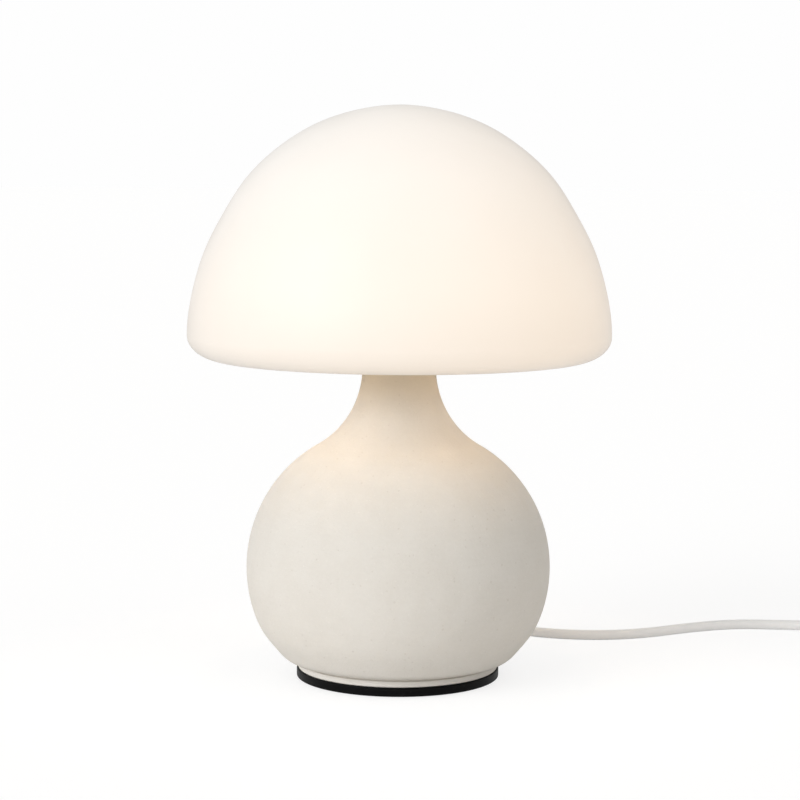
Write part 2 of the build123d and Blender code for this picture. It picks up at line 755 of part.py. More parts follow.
def make_free_lead():
    """The stretches of the lead that lie on the table, outside the coil."""
    nodes["cord_run"] = lead("cord_run", run_points, cord_radius)
    nodes["cord_link"] = lead("cord_link", link_points, cord_radius)
    nodes["cord_tail"] = lead("cord_tail", tail_points, cord_radius)


# ---- coil ----
coil_turns = 2 * coil_layer_turns + 0.5


def coil_place(turn):
    """Where the lead's middle is after so many turns: in along the lower layer, up, and out again."""
    climb = min(max(turn - coil_layer_turns, 0.0) * 2, 1.0)
    turns_in = min(turn, coil_layer_turns, coil_turns - turn)
    reach = coil_radius - coil_pitch * turns_in - climb_draw * math.sin(math.pi * climb)
    height = cord_radius + coil_pitch * (1 - math.cos(math.pi * climb)) / 2
    angle = math.pi / 2 - 2 * math.pi * turn
    return Vector(coil_x + reach * math.cos(angle), coil_y + reach * math.sin(angle), height)


def coil_heading(turn):
    """Which way the lead points there."""
    step = 1e-4
    before = coil_place(max(turn - step, 0.0))
    after = coil_place(min(turn + step, coil_turns))
    return (after - before).normalized()


def biarc(start, leave, end, arrive):
    """Two tangent arcs between two places with given headings."""
    across = end - start
    both = leave + arrive
    bend = 2 * (1 - leave.dot(arrive))
    reach = (-across.dot(both) + math.sqrt(across.dot(both) ** 2 + bend * across.dot(across))) / bend
    middle = (start + end + (leave - arrive) * reach) / 2
    first = TangentArc(start, middle, tangent=leave)
    second = TangentArc(middle, end, tangent=first % 1)
    return [first, second]


def least_gap(route, samples=1500):
    """The least gap between the lead's turns, measured on points along its middle."""
    points = [route @ (index / samples) for index in range(samples + 1)]
    skip = int(samples * 4 * cord_radius / route.length) + 1
    least = min(
        (points[i] - points[j]).length
        for i in range(0, len(points), 2)
        for j in range(i + skip, len(points), 2)
    )
    return least - 2 * cord_radius


def make_coil():
    """The wound part of the lead, as one unbroken tube in two layers, with a short straight at each end."""
    quarters = round(coil_turns * 4)
    places = [coil_place(index / 4) for index in range(quarters + 1)]
    headings = [coil_heading(index / 4) for index in range(quarters + 1)]
    headings[0] = Vector(1, 0, 0)
    headings[-1] = Vector(-1, 0, 0)
    straight = 2 * cord_radius
    edges = [Line(places[0] - headings[0] * straight, places[0])]
    for index in range(quarters):
        edges += biarc(places[index], edges[-1] % 1, places[index + 1], headings[index + 1])
    edges.append(Line(places[-1], places[-1] + headings[-1] * straight))
    route = Wire(edges)
    section = Plane(origin=route @ 0, z_dir=route % 0) * Circle(cord_radius)
    tube = sweep(section, path=route)
    share = tube.volume / (math.pi * cord_radius**2 * route.length)
    print(f"cord_coil: length {route.length:.1f}, volume share {share:.4f}, gap {least_gap(route):.2f}")
    nodes["cord_coil"] = tube


# ---- switch ----
def make_switch_shells():
    """The two shells of the switch with their screw pillars, the rocker's pin in its ears, and the screws."""
    whole = block((switch_start, switch_end), about(switch_across, switch_width), (0, switch_top))
    whole = fillet(whole.edges().filter_by(Axis.Z), switch_corner)
    whole = fillet(whole.edges().group_by(Axis.Z)[-1], switch_round)
    whole = fillet(whole.edges().group_by(Axis.Z)[0], switch_under_round)
    hollow = block(about(switch_middle, switch_length - 2 * switch_wall),
                   about(switch_across, switch_width - 2 * switch_wall),
                   (switch_wall, switch_top - switch_wall))
    hollow = fillet(hollow.edges().filter_by(Axis.Z), switch_corner - switch_wall)
    lead_way = rod_x(cord_radius + run_gap, switch_start, switch_end, switch_across, switch_half_height)
    shell = whole - hollow - lead_way
    base = shell & block((switch_start, switch_end), about(switch_across, switch_width),
                         (0, switch_half_height))
    cover = shell - base
    cover -= block(about(switch_middle, rocker_length + 2 * rocker_play),
                   about(switch_across, rocker_width + 2 * rocker_play), (switch_half_height, switch_top))
    ear_middle = (rocker_width + ear_thickness) / 2 + rocker_play
    ear_range = (pivot_height - pin_radius - ear_below_pin, switch_top - switch_wall)
    for side in (-1, 1):
        cover += block(about(switch_middle, ear_length),
                       about(switch_across + side * ear_middle, ear_thickness),
                       ear_range)
    pin_range = about(switch_across, rocker_width + 2 * rocker_play + 2 * pin_in_ear)
    pin = rod_y(pin_radius, *pin_range, switch_middle, pivot_height)
    cover -= pin
    nodes["rocker_pin"] = pin

    head_top = switch_head_sunk + switch_head_height
    screws = []
    for side in (-1, 1):
        x = switch_middle + side * switch_screw_place
        y = switch_across + side * switch_screw_across
        pillar_radius = switch_screw_radius + pillar_wall
        base += disc(pillar_radius, switch_wall, switch_half_height, x, y)
        cover += disc(pillar_radius, switch_half_height, switch_top - switch_wall, x, y)
        base -= disc(switch_screw_radius + slip, 0, switch_half_height, x, y)
        base -= disc(switch_head_radius + slip, 0, head_top, x, y)
        hole_top = head_top + switch_screw_length + screw_hole_spare
        cover -= disc(switch_screw_radius, switch_half_height, hole_top, x, y)
        driver = disc(switch_screw_radius, head_top, head_top + switch_screw_length, x, y)
        driver += disc(switch_head_radius, switch_head_sunk, head_top, x, y)
        driver -= block(about(x, screw_slot_width), about(y, 2 * switch_head_radius),
                        (0, switch_head_sunk + screw_slot_depth))
        screws.append(driver)
    nodes["switch_base"] = base
    nodes["switch_cover"] = cover
    nodes["switch_screws"] = group(screws)


def make_rocker():
    """The rocker, pressed to its on side, with the leg that works the tipping contact."""
    half = rocker_length / 2
    ends = rocker_top - rocker_end_dip
    skirt = pivot_height - rocker_skirt
    boss = pivot_height - rocker_boss_skirt
    side_view = Polyline(
        (-half, 0, skirt), (-half, 0, ends), (0, 0, rocker_top - rocker_middle_dip), (half, 0, ends),
        (half, 0, skirt), (rocker_boss / 2, 0, boss), (-rocker_boss / 2, 0, boss), close=True)
    rocker = extrude(make_face(side_view), rocker_width / 2, dir=(0, 1, 0), both=True)
    rocker += disc(leg_radius, seesaw_height + seesaw_thickness + leg_gap, pivot_height)
    rocker -= rod_y(pin_radius + run_gap, *about(0, rocker_width + over), 0, pivot_height)
    tilted = Pos(0, 0, pivot_height) * Rot(0, rocker_tilt, 0) * Pos(0, 0, -pivot_height) * rocker
    nodes["switch_rocker"] = Pos(switch_middle, switch_across, 0) * tilted


def make_contacts():
    """The tipping contact on the axle of its post, and the fixed contact that it meets."""
    across = about(0, seesaw_width)
    hook_depth = 2 * seesaw_axle + seesaw_hook
    seesaw = block(about(0, seesaw_length), across, (0, seesaw_thickness))
    seesaw += rod_y(seesaw_axle + seesaw_hook, *across, 0, -seesaw_axle)
    seesaw -= rod_y(seesaw_axle + run_gap, *across, 0, -seesaw_axle)
    seesaw &= block(about(0, seesaw_length), across, (-hook_depth, seesaw_thickness))
    tilted = Rot(0, -seesaw_tilt, 0) * Pos(0, 0, seesaw_axle) * seesaw
    nodes["switch_seesaw"] = Pos(switch_middle, switch_across, axle_height) * tilted
    axle_span = about(switch_across, seesaw_width + 2 * axle_reach)
    post = rod_y(seesaw_axle, *axle_span, switch_middle, axle_height)
    leg_middle = seesaw_width / 2 + post_gap + post_thickness / 2
    for side in (-1, 1):
        post += block(about(switch_middle, post_length),
                      about(switch_across + side * leg_middle, post_thickness),
                      (switch_wall, axle_height + post_over_axle))
    nodes["seesaw_post"] = post
    drop = (fixed_place + fixed_radius) * math.sin(math.radians(seesaw_tilt))
    contact_top = seesaw_height - drop - contact_gap
    fixed_middle = switch_middle - fixed_place
    nodes["fixed_contact"] = disc(fixed_radius, switch_wall, contact_top, fixed_middle, switch_across)


def make_switch_wires():
    """The three wires in the switch: one goes through, one comes to the contact, one leaves from the post."""
    straight = 5.0
    short_straight = 4.0
    aside = 12.0
    contact_run = 3.6
    post_run = 8.0
    wide_bend = 3.0
    post_bends = [2.4, 2.4, 1.6]
    start = switch_start + sheath_in_switch
    end = switch_end - sheath_in_switch
    spread = wire_radius + wire_split
    lane = switch_across - lane_across
    contact_face = switch_middle - fixed_place - fixed_radius
    post_face = switch_across + seesaw_width / 2 + post_gap + post_thickness
    through = [
        (start, switch_across - spread, switch_half_height),
        (start + straight, switch_across - spread, switch_half_height),
        (start + aside, lane, lane_height), (end - aside, lane, lane_height),
        (end - straight, switch_across - spread, switch_half_height),
        (end, switch_across - spread, switch_half_height),
    ]
    to_contact = [
        (start, switch_across + spread, switch_half_height),
        (start + short_straight, switch_across + spread, switch_half_height),
        (contact_face - contact_run, switch_across, wire_floor), (contact_face, switch_across, wire_floor),
    ]
    from_post = [
        (end, switch_across + spread, switch_half_height),
        (end - straight, switch_across + spread, switch_half_height),
        (switch_middle + post_run, post_face + post_wire_across, wire_floor),
        (switch_middle, post_face + post_wire_across, wire_floor), (switch_middle, post_face, wire_floor),
    ]
    nodes["switch_wires"] = group([
        lead("switch_wire_through", through, wire_radius, [wide_bend] * 4),
        lead("switch_wire_in", to_contact, wire_radius, [wide_bend] * 2),
        lead("switch_wire_out", from_post, wire_radius, post_bends),
    ])


# ---- plug ----
def make_plug():
    """A flat two-pin plug with a tapered body, a ribbed strain relief and sleeved pins."""
    face = plug_x - plug_length
    shoulder = face + plug_shoulder
    half = plug_width / 2
    rear = plug_rear_width / 2
    outline = Polyline(
        (face, plug_y - half), (shoulder, plug_y - half), (plug_x, plug_y - rear), (plug_x, plug_y + rear),
        (shoulder, plug_y + half), (face, plug_y + half), close=True)
    body = extrude(make_face(outline), plug_thickness)
    body = fillet(body.edges().filter_by(Axis.Z), plug_corner)
    body = fillet(body.edges().group_by(Axis.Z)[-1] + body.edges().group_by(Axis.Z)[0], plug_round)
    relief = Pos(plug_x, plug_y, plug_axis) * Rot(0, 90, 0) * Cone(
        relief_radius, cord_radius + relief_skin, relief_length, align=FROM_BASE)
    for index in range(relief_grooves):
        start = plug_x + relief_first + index * relief_step
        end = start + relief_groove
        relief -= (rod_x(relief_radius + over, start, end, plug_y, plug_axis)
                   - rod_x(cord_radius + relief_core_skin, start, end, plug_y, plug_axis))
    body += relief
    body -= rod_x(cord_radius + run_gap, plug_x - relief_root, plug_x + relief_length, plug_y, plug_axis)
    pins = []
    sleeves = []
    for side in (-1, 1):
        y = plug_y + side * pin_spacing / 2
        pin = rod_x(plug_pin_radius, face - pin_length, face + pin_root, y, plug_axis)
        pin = fillet(pin.edges().group_by(Axis.X)[0], plug_pin_round)
        sleeve = (rod_x(plug_pin_radius, face - sleeve_length, face, y, plug_axis)
                  - rod_x(plug_pin_radius - pin_sleeve_wall, face - sleeve_length, face, y, plug_axis))
        pins.append(pin - sleeve)
        sleeves.append(sleeve)
        body -= rod_x(plug_pin_radius, face, face + pin_root, y, plug_axis)
    nodes["plug_body"] = body
    nodes["plug_pins"] = group(pins)
    nodes["pin_sleeves"] = group(sleeves)


def main():
    """Builds every sub-part and writes each to its own file."""
    make_foot()
    make_body()
    make_bushing()
    make_clamp()
    make_bridge()
    make_stem()
    make_carrier()
    make_shade()
    make_holder_shells()
    make_holder_works()
    make_lamp_cap()
    make_lamp_head()
    make_inner_lead()
    make_free_lead()
    make_coil()
    make_switch_shells()
    make_rocker()
    make_contacts()
    make_switch_wires()
    make_plug()
    os.makedirs("parts", exist_ok=True)
    for name, shape in nodes.items():
        export_step(shape, f"parts/{name}.step")


main()
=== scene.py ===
import logging
import math
from dataclasses import dataclass
from enum import Enum
from typing import Callable, Optional, Sequence, Union

import bmesh
import bpy
import numpy as np
from bpy.types import ID, Material, Mesh, Node, NodeSocket, NodeTree, Object, World
from mathutils import Euler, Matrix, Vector


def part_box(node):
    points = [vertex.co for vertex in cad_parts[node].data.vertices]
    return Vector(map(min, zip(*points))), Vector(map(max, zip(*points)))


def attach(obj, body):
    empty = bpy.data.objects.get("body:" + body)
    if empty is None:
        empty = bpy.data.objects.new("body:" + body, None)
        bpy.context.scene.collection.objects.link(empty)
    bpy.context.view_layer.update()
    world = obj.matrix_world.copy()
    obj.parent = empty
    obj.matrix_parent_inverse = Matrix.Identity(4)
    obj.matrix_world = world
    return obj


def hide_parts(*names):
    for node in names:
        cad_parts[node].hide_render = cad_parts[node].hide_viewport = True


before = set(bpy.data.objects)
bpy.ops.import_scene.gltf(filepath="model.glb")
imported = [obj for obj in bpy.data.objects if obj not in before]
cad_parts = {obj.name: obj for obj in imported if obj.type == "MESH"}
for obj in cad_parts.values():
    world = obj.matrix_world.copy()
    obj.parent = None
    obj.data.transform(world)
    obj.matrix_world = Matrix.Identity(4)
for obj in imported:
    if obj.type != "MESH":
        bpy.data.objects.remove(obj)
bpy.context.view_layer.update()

log = logging.getLogger("mushroom_lamp")

Point = tuple[float, float]
Place = Colour = tuple[float, float, float]
Value = Union[NodeSocket, float, Sequence[float]]
Sockets = dict[str, NodeSocket]
Inputs = dict[str, tuple[str, object]]

FLOAT = "NodeSocketFloat"
VECTOR = "NodeSocketVector"
COLOUR = "NodeSocketColor"
BLACK: Colour = (0.0, 0.0, 0.0)
WHITE: Colour = (1.0, 1.0, 1.0)
FULL_TURN = 2 * math.pi
SHARP_ANGLE = math.radians(38)
MERGE_DISTANCE = 1e-6
SHORTEST_EDGE = 1e-7


class Slot(Enum):
    """The material slots of the part's record."""

    BLACK_ENAMEL = "black_enamel"
    PAD_RUBBER = "pad_rubber"
    STONEWARE = "stoneware"
    OPAL_GLASS = "opal_glass"
    ZINC_STEEL = "zinc_steel"
    WHITE_ENAMEL = "white_enamel"
    SILICONE = "silicone"
    GASKET_RUBBER = "gasket_rubber"
    WHITE_PLASTIC = "white_plastic"
    GLOSS_WHITE = "gloss_white"
    BRASS = "brass"
    NICKEL = "nickel"
    BLACK_INSULATOR = "black_insulator"
    LAMP_GLASS = "lamp_glass"
    BOARD_WHITE = "board_white"
    CHIP_YELLOW = "chip_yellow"
    CORD_WHITE = "cord_white"
    WIRE_BROWN = "wire_brown_pvc"
    WIRE_BLUE = "wire_blue_pvc"


# ---- Node trees ----------------------------------------------------------------------------------
def blank(owner: Union[Material, World]) -> NodeTree:
    """Gives a material or a world an empty node tree.

    Args:
        owner: The material or the world.

    Returns:
        Its tree.
    """
    owner.use_nodes = True
    owner.node_tree.nodes.clear()
    return owner.node_tree


class NodeCraft:
    """Short calls that add nodes to one tree and join them."""

    def __init__(self, tree: NodeTree) -> None:
        """Takes the tree that is built."""
        self.tree = tree

    def feed(self, socket: NodeSocket, source: Value) -> None:
        """Gives an input a link or a plain value.

        Args:
            socket: The input.
            source: An output socket, a number, a vector or a colour.
        """
        if isinstance(source, NodeSocket):
            self.tree.links.new(source, socket)
        elif socket.type == "RGBA" and len(source) == 3:
            socket.default_value = (*source, 1.0)
        else:
            socket.default_value = source

    def add(self, kind: str, sources: Optional[dict] = None, **settings: object) -> Node:
        """Adds a node.

        Args:
            kind: The node's type name.
            sources: What goes into its inputs, by name or by number.
            settings: Values for the node's own properties.

        Returns:
            The new node.
        """
        node = self.tree.nodes.new(kind)
        for key, value in settings.items():
            setattr(node, key, value)
        for key, source in (sources or {}).items():
            self.feed(node.inputs[key], source)
        return node

    def math(self, operation: str, *values: Value, clamp: bool = False) -> NodeSocket:
        """Works on one to three numbers with a Math node."""
        node = self.add("ShaderNodeMath", dict(enumerate(values)), operation=operation, use_clamp=clamp)
        return node.outputs[0]

    def times(self, *values: Value) -> NodeSocket:
        """One number times another."""
        return self.math("MULTIPLY", *values)

    def less(self, *values: Value) -> NodeSocket:
        """One number less another."""
        return self.math("SUBTRACT", *values)

    def times_add(self, *values: Value) -> NodeSocket:
        """One number times the second, and the third added."""
        return self.math("MULTIPLY_ADD", *values)

    def remap(self, value: Value, low: float, high: float, to_low: float = 0.0, to_high: float = 1.0,
              smooth: bool = False) -> NodeSocket:
        """Maps a range of a number to another range, and clamps it there.

        Args:
            value: The number.
            low: Start of its range.
            high: End of its range.
            to_low: What low becomes.
            to_high: What high becomes.
            smooth: Whether the way between them eases in and out.

        Returns:
            The result's socket.
        """
        ends = {"Value": value, "From Min": low, "From Max": high, "To Min": to_low, "To Max": to_high}
        kind = "SMOOTHSTEP" if smooth else "LINEAR"
        return self.add("ShaderNodeMapRange", ends, interpolation_type=kind, clamp=True).outputs["Result"]

    def mix(self, factor: Value, first: Value, second: Value, blend: str = "MIX") -> NodeSocket:
        """Mixes two colours: a factor of 0 gives the first, and 1 the second."""
        sources = {0: factor, 6: first, 7: second}
        return self.add("ShaderNodeMix", sources, data_type="RGBA", blend_type=blend).outputs[2]

    def noise(self, vector: Value, scale: Value, detail: float = 2.0, roughness: float = 0.5) -> NodeSocket:
        """Soft noise: scale in waves per metre, and how many finer layers it has and how strong."""
        sources = {"Vector": vector, "Scale": scale, "Detail": detail, "Roughness": roughness}
        return self.add("ShaderNodeTexNoise", sources).outputs["Fac"]

    def xyz(self, vector: Value) -> tuple[NodeSocket, ...]:
        """Splits a vector into its three numbers."""
        return tuple(self.add("ShaderNodeSeparateXYZ", {0: vector}).outputs)

    def vector(self, *numbers: Value) -> NodeSocket:
        """Joins three numbers into a vector."""
        return self.add("ShaderNodeCombineXYZ", dict(enumerate(numbers))).outputs[0]

    def stretch(self, vector: Value, factors: Place) -> NodeSocket:
        """Scales a vector along each axis."""
        return self.add("ShaderNodeVectorMath", {0: vector, 1: factors}, operation="MULTIPLY").outputs[0]

    def group(self, tree: NodeTree, **values: Value) -> Sockets:
        """Places a shared node group with its own values, and gives its outputs by name."""
        node = self.add("ShaderNodeGroup", values, node_tree=tree)
        return {socket.name: socket for socket in node.outputs}

    def declare(self, inputs: Inputs, outputs: dict[str, str]) -> Sockets:
        """Names what goes into the tree and what comes out of it.

        Args:
            inputs: Each input's socket type and first value.
            outputs: Each output's socket type.

        Returns:
            The inputs, by name, for the tree's own nodes.
        """
        for title, (kind, value) in inputs.items():
            socket = self.tree.interface.new_socket(title, in_out="INPUT", socket_type=kind)
            if value is not None:
                socket.default_value = value
        for title, kind in outputs.items():
            self.tree.interface.new_socket(title, in_out="OUTPUT", socket_type=kind)
        return {socket.name: socket for socket in self.add("NodeGroupInput").outputs if socket.name}


class Brush(NodeCraft):
    """The tree of one material, with its Principled shader and the place that is painted."""

    def __init__(self, material: Material) -> None:
        """Empties the material's tree and adds its shader."""
        super().__init__(blank(material))
        self.where = self.add("ShaderNodeTexCoord").outputs["Object"]
        self.shader = self.add("ShaderNodeBsdfPrincipled")
        self.add("ShaderNodeOutputMaterial", {"Surface": self.shader.outputs["BSDF"]})

    def put(self, name: str, source: Value) -> None:
        """Gives an input of the shader a link or a plain value."""
        self.feed(self.shader.inputs[name], source)

    def effect(self, tree: NodeTree, **values: Value) -> Sockets:
        """Places a shared group, which reads the painted place unless a Vector is given."""
        return self.group(tree, **{"Vector": self.where, **values})

    def bump(self, height: Value, depth: float, strength: float) -> None:
        """Raises the surface by a map from 0 to 1, so many metres deep."""
        node = self.add("ShaderNodeBump", {"Strength": strength, "Distance": depth, "Height": height})
        self.put("Normal", node.outputs["Normal"])


def new_group(name: str, inputs: Inputs, outputs: dict[str, str],
              fill: Callable[[NodeCraft, Sockets], Sockets]) -> NodeTree:
    """Builds a shared shader node group.

    Args:
        name: The group's name.
        inputs: Each input's socket type and first value.
        outputs: Each output's socket type.
        fill: Adds the nodes, and returns the socket for each output.

    Returns:
        The group.
    """
    craft = NodeCraft(bpy.data.node_groups.new(name, "ShaderNodeTree"))
    craft.add("NodeGroupOutput", fill(craft, craft.declare(inputs, outputs)))
    return craft.tree


def fill_mottle(craft: NodeCraft, given: Sockets) -> Sockets:
    """Slow changes of colour: a wide layer and a middle one.

    Args:
        craft: The group's tree.
        given: Its inputs.

    Returns:
        Its outputs.
    """
    wide = craft.noise(given["Vector"], given["Scale"], detail=3.0, roughness=0.55)
    middle = craft.noise(given["Vector"], craft.times(given["Scale"], 4.3))
    both = craft.math("ADD", craft.times(wide, 0.65), craft.times(middle, 0.35))
    mask = craft.remap(both, 0.36, 0.64, smooth=True)
    colour = craft.mix(craft.times(mask, given["Amount"]), given["Colour"], given["Shift"])
    return {"Colour": colour, "Mask": mask}


def fill_grain(craft: NodeCraft, given: Sockets) -> Sockets:
    """Fine grain of two sizes, for bump and for a little colour.

    Args:
        craft: The group's tree.
        given: Its inputs.

    Returns:
        Its outputs.
    """
    coarse = craft.noise(given["Vector"], given["Scale"], roughness=0.6)
    fine = craft.noise(given["Vector"], craft.times(given["Scale"], 2.7), detail=1.0)
    height = craft.math("ADD", craft.times(coarse, 0.62), craft.times(fine, 0.38))
    return {"Height": height, "Mask": craft.remap(height, 0.40, 0.60)}


def fill_speckle(craft: NodeCraft, given: Sockets) -> Sockets:
    """Scattered specks of uneven size, and how strong each one is.

    Args:
        craft: The group's tree.
        given: Its inputs.

    Returns:
        Its outputs.
    """
    sources = {"Vector": given["Vector"], "Scale": given["Scale"]}
    cells = craft.add("ShaderNodeTexVoronoi", sources, feature="F1")
    pick = craft.xyz(cells.outputs["Color"])
    size = craft.times(given["Size"], craft.math("ADD", 0.35, pick[1]))
    dot = craft.math("LESS_THAN", cells.outputs["Distance"], size)
    chosen = craft.math("LESS_THAN", pick[0], given["Share"])
    strong = craft.math("ADD", 0.4, pick[2])
    return {"Mask": craft.math("MULTIPLY", craft.times(dot, chosen), strong, clamp=True)}


def fill_scuffs(craft: NodeCraft, given: Sockets) -> Sockets:
    """Handling marks: thin strokes that run all ways, in a few worn patches.

    Args:
        craft: The group's tree.
        given: Its inputs.

    Returns:
        Its outputs.
    """
    ways = [craft.noise(craft.stretch(given["Vector"], way), given["Scale"], roughness=0.6)
            for way in ((1.0, 9.0, 1.0), (8.0, 1.0, 2.0))]
    strokes = craft.math("MAXIMUM", *(craft.remap(one, 0.62, 0.70) for one in ways))
    worn = craft.noise(given["Vector"], craft.times(given["Scale"], 0.22))
    return {"Mask": craft.times(strokes, craft.remap(worn, 0.45, 0.65, smooth=True))}


def fill_turning(craft: NodeCraft, given: Sockets) -> Sockets:
    """Faint rings left by the turning wheel, uneven in pitch and in depth.

    Args:
        craft: The group's tree.
        given: Its inputs.

    Returns:
        Its outputs.
    """
    height = craft.xyz(given["Vector"])[2]
    drift = craft.noise(given["Vector"], 18.0)
    wave = craft.math("SINE", craft.times_add(drift, 3.0, craft.times(height, given["Rings"])))
    depth = craft.noise(craft.vector(0.0, 0.0, height), craft.times(given["Rings"], 0.05), detail=1.0)
    return {"Height": craft.times(wave, depth)}


class Effects:
    """The shader node groups that several finishes share, each built once."""

    mottle = new_group("mottle", {
        "Vector": (VECTOR, None), "Scale": (FLOAT, 20.0), "Amount": (FLOAT, 1.0), "Colour": (COLOUR, None),
        "Shift": (COLOUR, None)}, {"Colour": COLOUR, "Mask": FLOAT}, fill_mottle)
    grain = new_group("grain", {"Vector": (VECTOR, None), "Scale": (FLOAT, 800.0)},
                      {"Height": FLOAT, "Mask": FLOAT}, fill_grain)
    speckle = new_group("speckle", {
        "Vector": (VECTOR, None), "Scale": (FLOAT, 400.0), "Size": (FLOAT, 0.3), "Share": (FLOAT, 0.2)},
        {"Mask": FLOAT}, fill_speckle)
    scuffs = new_group("scuffs", {"Vector": (VECTOR, None), "Scale": (FLOAT, 120.0)},
                       {"Mask": FLOAT}, fill_scuffs)
    turning = new_group("turning_rings", {"Vector": (VECTOR, None), "Rings": (FLOAT, 2400.0)},
                        {"Height": FLOAT}, fill_turning)


# ---- Finishes ------------------------------------------------------------------------------------
@dataclass(frozen=True)
class Finish:
    """What every finish has: a slot of the record, a colour and a roughness."""

    slot: Slot
    colour: Colour
    roughness: float

    def material(self) -> Material:
        """Builds the material once.

        Returns:
            The same one each time.
        """
        name = f"finish_{self.slot.value}"
        if name not in bpy.data.materials:
            self.paint(Brush(bpy.data.materials.new(name)))
        return bpy.data.materials[name]

    def paint(self, brush: Brush) -> None:
        """Joins the finish's own nodes to the shader."""
        raise NotImplementedError

    def mottled(self, brush: Brush, scale: float, amount: float, shift: Union[Colour, float]) -> Sockets:
        """The finish's colour with slow patches: of a second colour, or of a share of its own."""
        shift = shift if isinstance(shift, tuple) else tuple(value * shift for value in self.colour)
        return brush.effect(Effects.mottle, Scale=scale, Amount=amount, Colour=self.colour, Shift=shift)

    def roughen(self, brush: Brush, mask: Value, less: float, more: float) -> None:
        """Spreads the roughness over a mask: smoother where it is 0, rougher where it is 1."""
        brush.put("Roughness", brush.remap(mask, 0.0, 1.0, self.roughness - less, self.roughness + more))


@dataclass(frozen=True)
class Stoneware(Finish):
    """Matte sandy glaze on thrown clay: mottled, finely pored, with specks and faint turning rings, painted
    warm shade on the neck under the glass shade and painted shade over the foot groove.
    """

    shift: Colour = (0.655, 0.615, 0.55)
    # The colour of the dark specks, and also of the painted shade over the groove.
    speck_and_shade: Colour = (0.42, 0.36, 0.28)
    pale: Colour = (0.80, 0.77, 0.72)
    # Painted shade: a warm dark tone multiplied over the neck under the glass shade, standing in for the
    # shade's shadow and the lamp's warm light, and the heights where it comes in.
    neck_shade: Colour = (0.85, 0.765, 0.64)
    neck_shade_heights: Point = (0.140, 0.170)
    groove_height: float = 0.0093
    groove_reach: float = 0.0040
    groove_edge: float = 0.0008
    # How dark the painted shade just above the groove is.
    groove_shade: float = 0.40
    foot_pale: Colour = (0.86, 0.83, 0.78)
    foot_wipe: float = 0.6

    def paint(self, brush: Brush) -> None:
        """Mottle, specks, pores and rings, painted warm shade on the neck, painted shade over the groove and
        a wiped foot.

        Args:
            brush: The material's tree.
        """
        grain = brush.effect(Effects.grain, Scale=620.0)
        dark = brush.effect(Effects.speckle, Scale=520.0, Size=0.26, Share=0.10)
        light = brush.effect(Effects.speckle, Scale=730.0, Size=0.30, Share=0.16)
        colour = self.mottled(brush, scale=22.0, amount=0.28, shift=self.shift)["Colour"]
        layers = ((grain, 0.16, self.pale), (dark, 0.16, self.speck_and_shade), (light, 0.35, self.pale))
        for layer, share, over in layers:
            colour = brush.mix(brush.times(layer["Mask"], share), colour, over)
        height, groove = brush.xyz(brush.where)[2], self.groove_height
        # Painted shade on the neck: darker and warmer from the lower height up to the rim.
        neck = brush.remap(height, *self.neck_shade_heights, smooth=True)
        neck_shaded = brush.mix(neck, colour, self.neck_shade, "MULTIPLY")
        above = brush.remap(height, groove - self.groove_edge, groove)
        # Painted shade in the groove's recess: a dark band just above the groove, fading upwards.
        dust_and_shade = brush.remap(height, groove, groove + self.groove_reach, self.groove_shade, 0.0, smooth=True)
        wiped = brush.mix(brush.remap(above, 0.0, 1.0, self.foot_wipe, 0.0), neck_shaded, self.foot_pale)
        brush.put("Base Color", brush.mix(brush.times(above, dust_and_shade), wiped, self.speck_and_shade))
        self.roughen(brush, grain["Mask"], less=0.07, more=0.07)
        brush.put("Specular IOR Level", 0.22)
        rings = brush.effect(Effects.turning, Rings=1900.0)
        relief = brush.times_add(rings["Height"], 0.08, grain["Height"])
        pitted = brush.less(relief, brush.times(dark["Mask"], 0.25))
        brush.bump(pitted, depth=0.00045, strength=0.75)


@dataclass(frozen=True)
class OpalGlass(Finish):
    """White opal glass with a painted glow for the lamp's light through it: warm and bright round the lamp,
    warmer to +X, paler to the crown, with painted shade towards its outline and lip.
    """

    cloud: Colour = (0.34, 0.33, 0.315)
    glow: Colour = (1.0, 0.83, 0.66)
    cool: Colour = (0.90, 0.855, 0.80)
    warm_heights: Point = (0.18, 0.315)
    painted_warmth_x: Point = (-0.10, 0.115)
    strength: float = 0.71
    rim_fade: float = 0.60
    rim_power: float = 3.0
    lip_heights: Point = (0.172, 0.222)
    lip_fade: float = 0.10
    inner_share: float = 0.45

    def paint(self, brush: Brush) -> None:
        """A painted glow, warmer low and to the +X side, faded by painted shade towards the outline and the
        lip, with faint clouds in the glass.

        Args:
            brush: The material's tree.
        """
        base = self.mottled(brush, scale=9.0, amount=0.35, shift=self.cloud)
        brush.put("Base Color", base["Colour"])
        x, _, z = brush.xyz(brush.where)
        rise = brush.remap(z, *self.warm_heights, smooth=True)
        # Painted light: the glow is warmer towards +X, the side away from the key sun.
        side = brush.remap(x, *self.painted_warmth_x, smooth=True)
        warmth = brush.times_add(side, 0.45, brush.times(brush.less(1.0, rise), 0.55))
        # Painted shade: the glow fades where the dome turns away from view, and a little on the lip.
        facing = brush.add("ShaderNodeLayerWeight", {"Blend": 0.5}).outputs["Facing"]
        rim = brush.times(brush.math("POWER", facing, self.rim_power), self.rim_fade)
        lip = brush.remap(z, *self.lip_heights, self.lip_fade, 0.0, smooth=True)
        diffuse = brush.add("ShaderNodeLightPath").outputs["Is Diffuse Ray"]
        bounced = brush.times(diffuse, 1.0 - self.inner_share)
        fade = brush.math("MAXIMUM", brush.math("ADD", rim, lip), bounced)
        # The emission is a painted glow that stands for the lamp's light coming through the glass.
        brush.put("Emission Color", brush.mix(fade, brush.mix(warmth, self.cool, self.glow), BLACK))
        brush.put("Emission Strength", self.strength)
        self.roughen(brush, base["Mask"], less=0.05, more=0.05)
        brush.put("IOR", 1.5)
        brush.put("Specular IOR Level", 0.25)
        brush.bump(brush.effect(Effects.grain, Scale=260.0)["Height"], depth=0.00008, strength=0.5)


